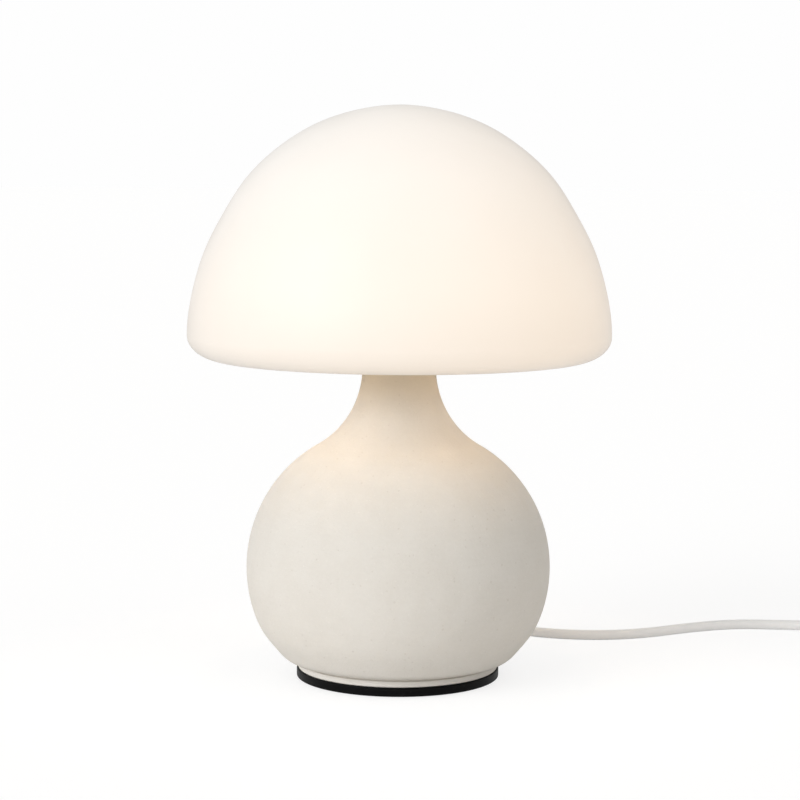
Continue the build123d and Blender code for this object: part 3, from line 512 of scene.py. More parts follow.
@dataclass(frozen=True)
class LampGlow(Finish):
    """The opal globe of the lit lamp."""

    strength: float = 28.0
    low_light: Colour = (0.9, 0.50, 0.28)
    high_light: Colour = (1.0, 0.82, 0.58)
    seen_glow: Colour = (0.013, 0.0103, 0.0065)
    seen_edge: Colour = (0.0077, 0.0045, 0.002)
    edge_heights: Point = (0.249, 0.262)

    def paint(self, brush: Brush) -> None:
        """An even warm glow, softer where the globe meets its housing, and dimmed for the camera.

        Args:
            brush: The material's tree.
        """
        base = self.mottled(brush, scale=60.0, amount=0.4, shift=1.05)
        brush.put("Base Color", base["Colour"])
        edge = brush.remap(brush.xyz(brush.where)[2], *self.edge_heights, smooth=True)
        light = brush.mix(edge, self.low_light, self.high_light)
        seen = brush.mix(edge, self.seen_edge, self.seen_glow)
        path = brush.add("ShaderNodeLightPath").outputs["Is Camera Ray"]
        brush.put("Emission Color", brush.mix(path, light, seen))
        brush.put("Emission Strength", self.strength)
        brush.put("Roughness", self.roughness)
        brush.bump(brush.effect(Effects.grain, Scale=900.0)["Height"], depth=0.00003, strength=0.4)


@dataclass(frozen=True)
class Enamel(Finish):
    """Baked enamel on steel: fine orange peel, with handling marks that show as duller strokes."""

    mark: Colour = (0.10, 0.10, 0.10)
    peel: float = 700.0
    shine: float = 0.5

    def paint(self, brush: Brush) -> None:
        """Orange peel in the bump, scuffs in colour and roughness.

        Args:
            brush: The material's tree.
        """
        brush.put("Specular IOR Level", self.shine)
        worn = tuple(min(1.0, value * 1.3 + 0.002) for value in self.colour)
        base = self.mottled(brush, scale=45.0, amount=0.5, shift=worn)
        scuffs = brush.effect(Effects.scuffs, Scale=150.0)["Mask"]
        brush.put("Base Color", brush.mix(brush.times(scuffs, 0.35), base["Colour"], self.mark))
        grain = brush.effect(Effects.grain, Scale=self.peel)
        brush.put("Roughness",
                  brush.times_add(grain["Mask"], 0.05, brush.times_add(scuffs, 0.18, self.roughness)))
        brush.bump(grain["Height"], depth=0.00006, strength=0.6)


@dataclass(frozen=True)
class Plated(Finish):
    """Plated or plain metal: a fine drawn grain, duller patches and a few marks."""

    stain: Colour = (0.35, 0.33, 0.30)
    drawn: Place = (1.0, 1.0, 14.0)

    def paint(self, brush: Brush) -> None:
        """Drawn grain in roughness and bump, stains in the colour.

        Args:
            brush: The material's tree.
        """
        brush.put("Metallic", 1.0)
        base = self.mottled(brush, scale=110.0, amount=0.35, shift=self.stain)
        scuffs = brush.effect(Effects.scuffs, Scale=300.0)["Mask"]
        brush.put("Base Color", brush.mix(brush.times(scuffs, 0.4), base["Colour"], self.stain))
        grain = brush.effect(Effects.grain, Vector=brush.stretch(brush.where, self.drawn), Scale=420.0)
        self.roughen(brush, grain["Mask"], less=0.08, more=0.10)
        brush.bump(grain["Height"], depth=0.00002, strength=0.5)


@dataclass(frozen=True)
class Moulded(Finish):
    """Moulded plastic or rubber: a fine spark-eroded texture, slow changes of tone and a little dust."""

    dust: Colour = (0.62, 0.60, 0.56)
    texture: float = 1500.0
    depth: float = 0.00005
    dust_and_shade: float = 0.10

    def paint(self, brush: Brush) -> None:
        """Texture in the bump and roughness, dust in patches.

        Args:
            brush: The material's tree.
        """
        base = self.mottled(brush, scale=60.0, amount=0.4, shift=0.93)
        scuffs = brush.effect(Effects.scuffs, Scale=220.0)["Mask"]
        dust = brush.times(brush.math("MAXIMUM", scuffs, base["Mask"]), self.dust_and_shade)
        brush.put("Base Color", brush.mix(dust, base["Colour"], self.dust))
        grain = brush.effect(Effects.grain, Scale=self.texture)
        self.roughen(brush, grain["Mask"], less=0.05, more=0.08)
        brush.bump(grain["Height"], self.depth, strength=0.7)


@dataclass(frozen=True)
class Sheath(Finish):
    """The satin sheath of the lead: slight ripples where it was drawn, and a trace of dust underneath."""

    dust: Colour = (0.60, 0.58, 0.54)
    dust_height: float = 0.0012

    def paint(self, brush: Brush) -> None:
        """Ripples and fine grain in the bump, dust near the table.

        Args:
            brush: The material's tree.
        """
        base = self.mottled(brush, scale=38.0, amount=0.5, shift=0.96)
        low = brush.remap(brush.xyz(brush.where)[2], 0.0, self.dust_height, 0.25, 0.0)
        fine = brush.effect(Effects.grain, Scale=1300.0)
        brush.put("Base Color", brush.mix(brush.times(low, fine["Mask"]), base["Colour"], self.dust))
        ripple = brush.noise(brush.where, 210.0, detail=1.0)
        brush.put("Roughness", brush.remap(ripple, 0.35, 0.65, self.roughness - 0.04, self.roughness + 0.06))
        brush.bump(brush.times_add(fine["Height"], 0.2, ripple), depth=0.00010, strength=0.6)


class Palette:
    """The finishes of the lamp."""

    stoneware = Stoneware(Slot.STONEWARE, (0.735, 0.705, 0.655), 0.86)
    opal = OpalGlass(Slot.OPAL_GLASS, (0.36, 0.355, 0.345), 0.42)
    black_enamel = Enamel(Slot.BLACK_ENAMEL, (0.002, 0.002, 0.002), 0.45, mark=(0.02, 0.02, 0.02), shine=0.06)
    white_enamel = Enamel(Slot.WHITE_ENAMEL, (0.80, 0.79, 0.76), 0.36, mark=(0.55, 0.54, 0.52))
    pad_rubber = Moulded(Slot.PAD_RUBBER, (0.022, 0.022, 0.023), 0.82, dust=(0.20, 0.19, 0.18), texture=900.0,
                         depth=0.0002, dust_and_shade=0.35)
    gasket_rubber = Moulded(Slot.GASKET_RUBBER, (0.045, 0.045, 0.047), 0.75, dust=(0.2, 0.19, 0.18))
    silicone = Moulded(Slot.SILICONE, (0.72, 0.72, 0.69), 0.48, dust=(0.60, 0.58, 0.55), texture=700.0)
    white_plastic = Moulded(Slot.WHITE_PLASTIC, (0.79, 0.785, 0.765), 0.44)
    gloss_white = Moulded(Slot.GLOSS_WHITE, (0.82, 0.815, 0.80), 0.22, texture=500.0, depth=0.00002,
                          dust_and_shade=0.05)
    black_insulator = Moulded(Slot.BLACK_INSULATOR, (0.012, 0.012, 0.013), 0.25, dust=(0.1, 0.1, 0.1))
    board_white = Moulded(Slot.BOARD_WHITE, (0.78, 0.79, 0.77), 0.30, texture=900.0)
    chip_yellow = Moulded(Slot.CHIP_YELLOW, (0.86, 0.60, 0.07), 0.35, dust=(0.70, 0.55, 0.2))
    wire_brown = Moulded(Slot.WIRE_BROWN, (0.12, 0.045, 0.018), 0.42)
    wire_blue = Moulded(Slot.WIRE_BLUE, (0.02, 0.10, 0.40), 0.42)
    zinc_steel = Plated(Slot.ZINC_STEEL, (0.62, 0.62, 0.60), 0.34)
    brass = Plated(Slot.BRASS, (0.78, 0.58, 0.28), 0.28, stain=(0.40, 0.26, 0.11))
    nickel = Plated(Slot.NICKEL, (0.72, 0.69, 0.64), 0.22, stain=(0.45, 0.42, 0.38))
    lamp_glass = LampGlow(Slot.LAMP_GLASS, (0.60, 0.53, 0.42), 0.35)
    cord_white = Sheath(Slot.CORD_WHITE, (0.97, 0.97, 0.97), 0.5)


# ---- Outlines: lists of (radius, height) in metres -----------------------------------------------
def arc(centre: Point, radii: Union[float, Point], start: float, end: float, steps: int) -> list[Point]:
    """Points on an arc of a circle or an ellipse.

    Args:
        centre: The arc's centre.
        radii: Its radius, or its radius across and up.
        start: First angle in degrees.
        end: Last angle in degrees.
        steps: How many steps it has.

    Returns:
        steps + 1 points.
    """
    across, up = radii if isinstance(radii, tuple) else (radii, radii)
    angles = (math.radians(start + (end - start) * step / steps) for step in range(steps + 1))
    return [(centre[0] + across * math.cos(one), centre[1] + up * math.sin(one)) for one in angles]


def spline_through(stations: Sequence[Point], leave: Point, arrive: Point, steps: int) -> list[Point]:
    """A smooth curve through a few stations, with its headings given at both ends.

    Args:
        stations: The points that it goes through.
        leave: Its heading at the first one.
        arrive: Its heading at the last one.
        steps: How many steps it has between two stations.

    Returns:
        The curve's points.
    """
    knots = np.array(stations, float)
    spans = np.linalg.norm(np.diff(knots, axis=0), axis=1)
    matrix = np.zeros((len(knots), len(knots)))
    right = np.zeros((len(knots), 2))
    matrix[0, 0] = matrix[-1, -1] = 1.0
    right[0] = np.array(leave) / np.linalg.norm(leave)
    right[-1] = np.array(arrive) / np.linalg.norm(arrive)
    for index in range(1, len(knots) - 1):
        before, after = spans[index - 1], spans[index]
        matrix[index, index - 1:index + 2] = (after, 2 * (before + after), before)
        right[index] = 3 * (after / before * (knots[index] - knots[index - 1])
                            + before / after * (knots[index + 1] - knots[index]))
    slopes = np.linalg.solve(matrix, right)
    points = [tuple(knots[0])]
    for index, span in enumerate(spans):
        for t in (step / steps for step in range(1, steps + 1)):
            points.append(tuple(
                (2 * t**3 - 3 * t**2 + 1) * knots[index] + (t**3 - 2 * t**2 + t) * span * slopes[index]
                + (3 * t**2 - 2 * t**3) * knots[index + 1] + (t**3 - t**2) * span * slopes[index + 1]))
    return points


def set_off(points: Sequence[Point], distance: float) -> list[Point]:
    """An outline beside another one, on the right of its way.

    Args:
        points: The first outline.
        distance: How far it is set off.

    Returns:
        As many points.
    """
    line = np.array(points)
    along = np.gradient(line, axis=0)
    along /= np.linalg.norm(along, axis=1)[:, None]
    return [tuple(one) for one in line + np.stack([along[:, 1], -along[:, 0]], axis=1) * distance]


def even_steps(points: Sequence[Point], step: float) -> list[Point]:
    """The same corners, with long runs divided.

    Args:
        points: The corners.
        step: About how long a step is.

    Returns:
        The corners and the points between them.
    """
    result = [points[0]]
    for start, end in zip(points, points[1:]):
        parts = max(1, round(math.dist(start, end) / step))
        result += [tuple(np.array(start) + (np.array(end) - np.array(start)) * index / parts)
                   for index in range(1, parts + 1)]
    return result


# ---- Pieces --------------------------------------------------------------------------------------
def place_object(name: str, data: ID) -> Object:
    """Makes an object of a mesh, a curve, a light or a camera, and links it to the scene.

    Args:
        name: The object's name.
        data: What it shows.

    Returns:
        The object, at the origin.
    """
    data.name = name
    made = bpy.data.objects.new(name, data)
    bpy.context.scene.collection.objects.link(made)
    return made


def baked(carrier: Object) -> Mesh:
    """Keeps what an object's modifiers make of it, and takes them off.

    Args:
        carrier: The object.

    Returns:
        A plain mesh.
    """
    bpy.context.view_layer.update()
    depsgraph = bpy.context.evaluated_depsgraph_get()
    mesh = bpy.data.meshes.new_from_object(carrier.evaluated_get(depsgraph), depsgraph=depsgraph)
    carrier.modifiers.clear()
    return mesh


def tidy_mesh(mesh: Mesh) -> None:
    """Merges doubles, turns the faces outwards and marks the sharp edges.

    Args:
        mesh: The mesh, which is changed.
    """
    shape = bmesh.new()
    shape.from_mesh(mesh)
    bmesh.ops.remove_doubles(shape, verts=shape.verts, dist=MERGE_DISTANCE)
    bmesh.ops.dissolve_degenerate(shape, edges=shape.edges, dist=SHORTEST_EDGE)
    bmesh.ops.recalc_face_normals(shape, faces=shape.faces)
    shape.to_mesh(mesh)
    shape.free()
    mesh.set_sharp_from_angle(angle=SHARP_ANGLE)


def dress(finish: Finish, *nodes: str) -> None:
    """Gives CAD nodes a finish.

    Args:
        finish: The finish.
        nodes: The nodes' names.
    """
    for name in nodes:
        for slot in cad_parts[name].material_slots:
            slot.material = finish.material()
    log.info("dressed %s in %s", ", ".join(nodes), finish.slot.value)


def settle(piece: Object, body: str, finish: Finish, *nodes: str) -> Object:
    """Rides a finished piece on its body and lets it stand for its CAD nodes.

    Args:
        piece: The piece.
        body: The CAD body that it rides on.
        finish: What it is made of; not used.
        nodes: The CAD nodes that it replaces.

    Returns:
        The piece.
    """
    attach(piece, body)
    if nodes:
        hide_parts(*nodes)
    log.info("piece %s on %s", piece.name, body)
    return piece


# ---- Geometry Nodes ------------------------------------------------------------------------------
class GeometryTree(NodeCraft):
    """A Geometry Nodes tree with named inputs, which ends in Realize Instances and Set Material."""

    def __init__(self, name: str, inputs: Inputs) -> None:
        """Starts the tree.

        Args:
            name: Its name.
            inputs: Each input's socket type and first value.
        """
        super().__init__(bpy.data.node_groups.new(name, "GeometryNodeTree"))
        self.given = self.declare({**inputs, "Material": ("NodeSocketMaterial", None)},
                                  {"Geometry": "NodeSocketGeometry"})

    def shape(self, kind: str, sources: Optional[dict] = None, **settings: object) -> NodeSocket:
        """Adds a node and gives its first output."""
        return self.add(kind, sources, **settings).outputs[0]

    def circle(self, resolution: int, radius: Value) -> NodeSocket:
        """A circle as a curve."""
        return self.shape("GeometryNodeCurvePrimitiveCircle", {"Resolution": resolution, "Radius": radius},
                          mode="RADIUS")

    def swept(self, spine: NodeSocket, section: NodeSocket, capped: bool) -> NodeSocket:
        """A section swept along a curve."""
        sources = {"Curve": spine, "Profile Curve": section, "Fill Caps": capped}
        return self.shape("GeometryNodeCurveToMesh", sources)

    def finish(self, geometry: NodeSocket) -> "GeometryTree":
        """Joins the last nodes to a geometry.

        Args:
            geometry: What the tree has made.

        Returns:
            The whole tree.
        """
        smooth = self.shape("GeometryNodeSetShadeSmooth", {"Geometry": geometry})
        whole = self.shape("GeometryNodeRealizeInstances", {"Geometry": smooth})
        sources = {"Geometry": whole, "Material": self.given["Material"]}
        self.add("NodeGroupOutput", {"Geometry": self.shape("GeometryNodeSetMaterial", sources)})
        return self

    def bake(self, name: str, values: dict[str, object], finish: Finish) -> Object:
        """Runs the tree with some values and keeps the result as a plain mesh.

        Args:
            name: The new piece's name.
            values: The tree's inputs.
            finish: What the piece is made of.

        Returns:
            The piece, at the origin.
        """
        carrier = place_object(f"{name}_tree", bpy.data.meshes.new(name))
        modifier = carrier.modifiers.new("tree", "NODES")
        modifier.node_group = self.tree
        items = self.tree.interface.items_tree
        keys = {item.name: item.identifier for item in items if item.in_out == "INPUT"}
        for title, value in {**values, "Material": finish.material()}.items():
            modifier[keys[title]] = value
        mesh = baked(carrier)
        bpy.data.objects.remove(carrier)
        tidy_mesh(mesh)
        return place_object(name, mesh)


def turned_wall_tree() -> GeometryTree:
    """A wall turned about the vertical axis from an outline, with a screw thread and a slight unevenness.

    Returns:
        The tree.
    """
    made = GeometryTree("turned_wall", {
        "Outline": ("NodeSocketObject", None), "Segments": ("NodeSocketInt", 128), "Pitch": (FLOAT, 0.0028),
        "Depth": (FLOAT, 0.0), "Thread Low": (FLOAT, 0.0), "Thread High": (FLOAT, 1.0),
        "Unevenness": (FLOAT, 0.0)})
    given = made.given
    # Where the thread runs out, how near the axis the wall stays true, and the waves of its unevenness.
    run_out, true_radius = 0.0012, 0.02
    wave_scale, wave_rise, wave_start = 0.9, 22.0, 1.0
    outline = made.add("GeometryNodeObjectInfo", {"Object": given["Outline"]},
                       transform_space="ORIGINAL").outputs["Geometry"]
    rows = made.add("GeometryNodeAttributeDomainSize", {0: outline}, component="MESH").outputs["Point Count"]
    around = made.math("ADD", given["Segments"], 1.0)
    grid = made.shape("GeometryNodeMeshGrid", {"Vertices X": rows, "Vertices Y": around})
    index = made.shape("GeometryNodeInputIndex")
    row = made.math("FLOOR", made.math("DIVIDE", made.math("ADD", index, 0.5), around))
    column = made.less(index, made.times(row, around))
    share = made.math("DIVIDE", made.math("MODULO", column, given["Segments"]), given["Segments"])
    read = {"Geometry": outline, "Value": made.shape("GeometryNodeInputPosition"), "Index": row}
    radius, _, height = made.xyz(made.shape("GeometryNodeSampleIndex", read, data_type="FLOAT_VECTOR",
                                            domain="POINT"))
    phase = made.less(made.math("DIVIDE", height, given["Pitch"]), share)
    wave = made.math("SINE", made.times(phase, FULL_TURN))
    above = made.remap(made.less(height, given["Thread Low"]), 0.0, run_out, smooth=True)
    below = made.remap(made.less(given["Thread High"], height), 0.0, run_out, smooth=True)
    cut = made.times_add(wave, made.times(made.times(above, below), given["Depth"]), radius)
    angle = made.times(share, FULL_TURN)
    cosine, sine = made.math("COSINE", angle), made.math("SINE", angle)
    round_about = made.vector(cosine, sine, made.times_add(height, wave_rise, wave_start))
    swell = made.less(made.noise(round_about, wave_scale, detail=1.0), 0.5)
    away = made.remap(radius, 0.0, true_radius)
    uneven = made.times_add(made.times(swell, away), given["Unevenness"], cut)
    position = made.vector(made.times(uneven, cosine), made.times(uneven, sine), height)
    return made.finish(made.shape("GeometryNodeSetPosition", {"Geometry": grid, "Position": position}))


def rib_row_tree() -> GeometryTree:
    """Round ribs in a row along Y, from one radius to another.

    Returns:
        The tree.
    """
    made = GeometryTree("rib_row", {
        "Count": ("NodeSocketInt", 5), "Start": (VECTOR, (0.0, 0.0, 0.0)), "Length": (FLOAT, 0.01),
        "First Radius": (FLOAT, 0.004), "Last Radius": (FLOAT, 0.003), "Rib": (FLOAT, 0.0005)})
    given = made.given
    gaps = made.less(given["Count"], 1.0)
    offset = made.vector(0.0, made.math("DIVIDE", given["Length"], gaps), 0.0)
    line = made.shape("GeometryNodeMeshLine", {
        "Count": given["Count"], "Start Location": given["Start"], "Offset": offset}, mode="OFFSET")
    share = made.math("DIVIDE", made.shape("GeometryNodeInputIndex"), gaps)
    growth = made.less(given["Last Radius"], given["First Radius"])
    radius = made.times_add(share, growth, given["First Radius"])
    section = made.circle(resolution=10, radius=made.math("DIVIDE", given["Rib"], given["First Radius"]))
    return made.finish(made.shape("GeometryNodeInstanceOnPoints", {
        "Points": line, "Instance": made.swept(made.circle(resolution=48, radius=1.0), section, capped=False),
        "Rotation": (math.pi / 2, 0.0, 0.0), "Scale": made.vector(radius, radius, radius)}))


def bar_row_tree() -> GeometryTree:
    """Low rounded bars in a row along X, which lie along Y, for a thumb to feel.

    Returns:
        The tree.
    """
    made = GeometryTree("bar_row", {
        "Count": ("NodeSocketInt", 3), "Step": (FLOAT, 0.001), "Bar Length": (FLOAT, 0.006),
        "Bar Radius": (FLOAT, 0.0003), "Start": (VECTOR, (0.0, 0.0, 0.0)), "Tilt": (FLOAT, 0.0)})
    given = made.given
    line = made.shape("GeometryNodeMeshLine", {
        "Count": given["Count"], "Offset": made.vector(given["Step"], 0.0, 0.0)}, mode="OFFSET")
    half = made.times(given["Bar Length"], 0.5)
    ends = {"Start": made.vector(0.0, made.times(half, -1.0), 0.0), "End": made.vector(0.0, half, 0.0)}
    spine = made.shape("GeometryNodeCurvePrimitiveLine", ends, mode="POINTS")
    bar = made.swept(spine, made.circle(resolution=12, radius=given["Bar Radius"]), capped=True)
    bars = made.shape("GeometryNodeInstanceOnPoints", {"Points": line, "Instance": bar})
    return made.finish(made.shape("GeometryNodeTransform", {
        "Geometry": bars, "Translation": given["Start"], "Rotation": made.vector(0.0, given["Tilt"], 0.0)}))


class Trees:
    """The Geometry Nodes trees, each built once."""

    turned_wall = turned_wall_tree()
    rib_row = rib_row_tree()
    bar_row = bar_row_tree()


@dataclass(frozen=True)
class Thread:
    """A round screw thread on a turned wall, in metres."""

    pitch: float
    depth: float
    low: float
    high: float


def turn(name: str, outline: Sequence[Point], finish: Finish, segments: int = 160,
         thread: Optional[Thread] = None, unevenness: float = 0.0) -> Object:
    """Turns an outline about the lamp's axis.

    Args:
        name: The new piece's name.
        outline: Its (radius, height) points, closed or with both ends on the axis.
        finish: What it is made of.
        segments: How many segments it has round the axis.
        thread: A screw thread on it.
        unevenness: How far its radius swells and shrinks, in metres.

    Returns:
        The piece, at the origin.
    """
    pattern = place_object(f"{name}_outline", bpy.data.meshes.new(name))
    edges = [(index, index + 1) for index in range(len(outline) - 1)]
    pattern.data.from_pydata([(radius, 0.0, height) for radius, height in outline], edges, [])
    values: dict[str, object] = {"Outline": pattern, "Segments": segments, "Unevenness": unevenness}
    if thread:
        values.update({"Pitch": thread.pitch, "Depth": thread.depth, "Thread Low": thread.low,
                       "Thread High": thread.high})
    piece = Trees.turned_wall.bake(name, values, finish)
    bpy.data.objects.remove(pattern)
    return piece


# ---- Sub-assemblies ------------------------------------------------------------------------------
Dressing = tuple[tuple[Union[Finish, str], ...], ...]


@dataclass
class Assembly:
    """A sub-assembly: each finish with the CAD nodes that it dresses, and the pieces that are added."""

    dressing: Dressing = ()

    def build(self) -> None:
        """Dresses the CAD nodes, and then adds the pieces."""
        for finish, *nodes in self.dressing:
            dress(finish, *nodes)
        self.add_pieces()

    def add_pieces(self) -> None:
        """Adds the sub-assembly's own pieces; some have none."""


@dataclass
class Foot(Assembly):
    """The rubber pad and the black plate under the body."""

    dressing: Dressing = ((Palette.black_enamel, "base_plate"),)
    groove_count: int = 9
    groove_depth: float = 0.0004
    groove_width: float = 0.0012
    edge: float = 0.0003

    def add_pieces(self) -> None:
        """Turns the pad with its ring grooves underneath."""
        pad = turn("grooved_pad", self.pad_outline(), Palette.pad_rubber)
        settle(pad, "base", Palette.pad_rubber, "foot_pad")

    def pad_outline(self) -> list[Point]:
        """The pad's section: flat on top, with ring grooves in its underside.

        Returns:
            The (radius, height) points.
        """
        _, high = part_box("foot_pad")
        step = high.x / (self.groove_count + 1)
        half, edge = self.groove_width / 2, self.edge
        outline: list[Point] = [(0.0, 0.0)]
        for middle in (index * step for index in range(1, self.groove_count + 1)):
            outline += [(middle - half, 0.0), (middle - half * 0.5, self.groove_depth),
                        (middle + half * 0.5, self.groove_depth), (middle + half, 0.0)]
        outline += arc((high.x - edge, edge), edge, -90, 0, 4)
        return outline + arc((high.x - edge, high.z - edge), edge, 0, 90, 4) + [(0.0, high.z)]


@dataclass
class StonewareBody(Assembly):
    """The hollow ceramic body: a thrown wall with a round belly, a flared neck, a foot and a lead notch."""

    wall: float = 0.005
    foot_radius: float = 0.0546
    foot_inner: float = 0.0472
    foot_ease: float = 0.0002
    foot_edge: float = 0.0004
    foot_step: float = 0.0003
    groove_height: float = 0.00905
    groove_half: float = 0.00055
    groove_depth: float = 0.0009
    belly_height: float = 0.061
    shoulder_curve: float = 0.0765
    flare_curve: float = 0.050
    neck_radius: float = 0.020
    rim_round: float = 0.0008
    under_shares: tuple[Point, ...] = ((0.122, 0.449), (0.322, 0.692), (0.552, 0.855), (0.783, 0.973))
    under_heading: Point = (-1, -0.12)
    notch_half: float = 0.00475
    notch_height: float = 0.0101
    notch_below: float = 0.002
    notch_inward: float = 0.003
    notch_outward: float = 0.04
    unevenness: float = 0.00035
    segments: int = 256

    def add_pieces(self) -> None:
        """Turns the wall, cuts the notch for the lead, and lets it stand for the CAD body."""
        body = turn("stoneware_body", self.outline(), Palette.stoneware, self.segments,
                    unevenness=self.unevenness)
        self.cut_notch(body)
        settle(body, "base", Palette.stoneware, "ceramic_body")

    def outline(self) -> list[Point]:
        """The closed section of the wall, from the neck down the outside and up the inside.

        Returns:
            The (radius, height) points.
        """
        low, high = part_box("ceramic_body")
        belly, top, bottom = high.x, high.z, low.z
        shoulder = (belly - self.shoulder_curve, self.belly_height)
        across = self.neck_radius + self.flare_curve - shoulder[0]
        rise = math.sqrt((self.shoulder_curve + self.flare_curve)**2 - across**2)
        flare = (self.neck_radius + self.flare_curve, self.belly_height + rise)
        meeting = math.degrees(math.atan2(rise, across))
        rim = self.rim_round
        under_end = (self.foot_radius - self.foot_ease, self.groove_height + self.groove_half)
        stations = [(belly, self.belly_height)]
        stations += [(belly + inward * (under_end[0] - belly),
                      self.belly_height + down * (under_end[1] - self.belly_height))
                     for inward, down in self.under_shares]
        under = spline_through([*stations, under_end], (0, -1), self.under_heading, 9)
        under_inner = set_off(under, self.wall)[::-1]
        groove = arc((under_end[0], self.groove_height), (-self.groove_depth, self.groove_half), 90, -90, 10)
        outline = arc((self.neck_radius - rim, top - rim), rim, 90, 0, 5)
        outline += arc(flare, self.flare_curve, 180, 180 + meeting, 40)
        outline += arc(shoulder, self.shoulder_curve, meeting, 0, 48)[1:]
        outline += under[1:] + groove
        outline += [(self.foot_radius, groove[-1][1] - self.foot_step),
                    (self.foot_radius, bottom + self.foot_edge), (self.foot_radius - self.foot_edge, bottom),
                    (self.foot_inner, bottom), (self.foot_inner, under_inner[0][1])]
        outline += [one for one in under_inner if one[0] > self.foot_inner]
        outline += arc(shoulder, self.shoulder_curve - self.wall, 0, meeting, 40)[1:]
        outline += arc(flare, self.flare_curve + self.wall, 180 + meeting, 180, 30)[1:]
        outline += arc((self.neck_radius - self.wall + rim, top - rim), rim, 180, 90, 5)
        return outline + [outline[0]]

    def cut_notch(self, body: Object) -> None:
        """Cuts a round-topped slot through the back of the foot.

        Args:
            body: The turned wall.
        """
        section = [(-self.notch_half, -self.notch_below), (self.notch_half, -self.notch_below)]
        section += arc((0.0, self.notch_height), self.notch_half, 0, 180, 32)
        shape = bmesh.new()
        ends = (self.foot_inner - self.notch_inward, self.foot_inner + self.notch_outward)
        near, far = ([shape.verts.new((x, y, z)) for x, z in section] for y in ends)
        shape.faces.new(near)
        shape.faces.new(far[::-1])
        for index in range(len(section)):
            after = (index + 1) % len(section)
            shape.faces.new([near[index], far[index], far[after], near[after]])
        bmesh.ops.recalc_face_normals(shape, faces=shape.faces)
        cutter = place_object("notch_cutter", bpy.data.meshes.new("notch_cutter"))
        shape.to_mesh(cutter.data)
        shape.free()
        cutter.data.materials.append(Palette.stoneware.material())
        modifier = body.modifiers.new("notch", "BOOLEAN")
        modifier.operation = "DIFFERENCE"
        modifier.solver = "EXACT"
        modifier.object = cutter
        body.data = baked(body)
        body.data.set_sharp_from_angle(angle=SHARP_ANGLE)
        bpy.data.objects.remove(cutter)


@dataclass
class GlassShade(Assembly):
    """The blown opal dome with its in-turned lip and the flat flange that it rests by."""

    glass: float = 0.0032
    wide_height: float = 0.188
    lip_radius: float = 0.097
    seat_radius: float = 0.091
    seat_height: float = 0.178
    mouth_radius: float = 0.0824
    dome_shares: tuple[Point, ...] = (
        (0.205, 0.977), (0.400, 0.915), (0.573, 0.814), (0.720, 0.683), (0.830, 0.526), (0.909, 0.384),
        (0.9635, 0.230))
    unevenness: float = 0.0003
    segments: int = 256

    def add_pieces(self) -> None:
        """Turns the dome and lets it stand for the CAD shade."""
        shade = turn("opal_dome", self.outline(), Palette.opal, self.segments, unevenness=self.unevenness)
        settle(shade, "shade", Palette.opal, "glass_shade")

    def outline(self) -> list[Point]:
        """The section of the glass, from the crown down the outside, round the lip and back up the inside.

        Returns:
            The (radius, height) points.
        """
        low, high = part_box("glass_shade")
        widest, crown, lowest = high.x, high.z, low.z
        rise, glass, half = crown - self.wide_height, self.glass, self.glass / 2
        stations = [(0.0, crown)]
        stations += [(outward * widest, self.wide_height + up * rise) for outward, up in self.dome_shares]
        dome = spline_through([*stations, (widest, self.wide_height)], (1, 0), (0, -1), 12)
        across, drop = widest - self.lip_radius, self.wide_height - lowest
        middle = (self.lip_radius, self.wide_height)
        lip = arc(middle, (across, drop), 0, -90, 28)
        curl = spline_through([(self.lip_radius, lowest), (self.seat_radius, self.seat_height)],
                              (-1, 0), (-1, 0), 12)
        mouth = arc((self.mouth_radius + half, self.seat_height + half), half, 270, 90, 14)
        curl_inner = [(radius, height + glass) for radius, height in curl[::-1]]
        lip_inner = arc(middle, (across - glass, drop - glass), -90, 0, 28)
        dome_inner = set_off(dome, glass)[::-1]
        dome_inner[-1] = (0.0, crown - glass)
        return dome + lip[1:] + curl[1:] + mouth + curl_inner + lip_inner[1:] + dome_inner[1:]


@dataclass
class Stem(Assembly):
    """What holds the lamp together inside: clamp, bridge, threaded tube, nuts, gasket and neck cap."""

    dressing: Dressing = (
        (Palette.zinc_steel, "clamp_screws", "bridge", "bridge_screws", "bridge_washers", "stem_tube",
         "bridge_nuts"),
        (Palette.white_plastic, "clamp_block", "clamp_bar"),
        (Palette.gasket_rubber, "neck_gasket"),
        (Palette.white_enamel, "neck_cap"))


@dataclass
class ShadeCarrier(Assembly):
    """The hub with its three arms and silicone seats."""

    dressing: Dressing = (
        (Palette.white_enamel, "shade_carrier"),
        (Palette.silicone, "arm_pads"),
        (Palette.zinc_steel, "carrier_washer", "carrier_nut"))


@dataclass
class LampHolder(Assembly):
    """The holder on the tube, with its insert and contacts."""

    dressing: Dressing = (
        (Palette.gloss_white, "holder_cap", "holder_barrel"),
        (Palette.white_plastic, "holder_insert"),
        (Palette.brass, "terminal_screws", "centre_contact", "side_contact"))


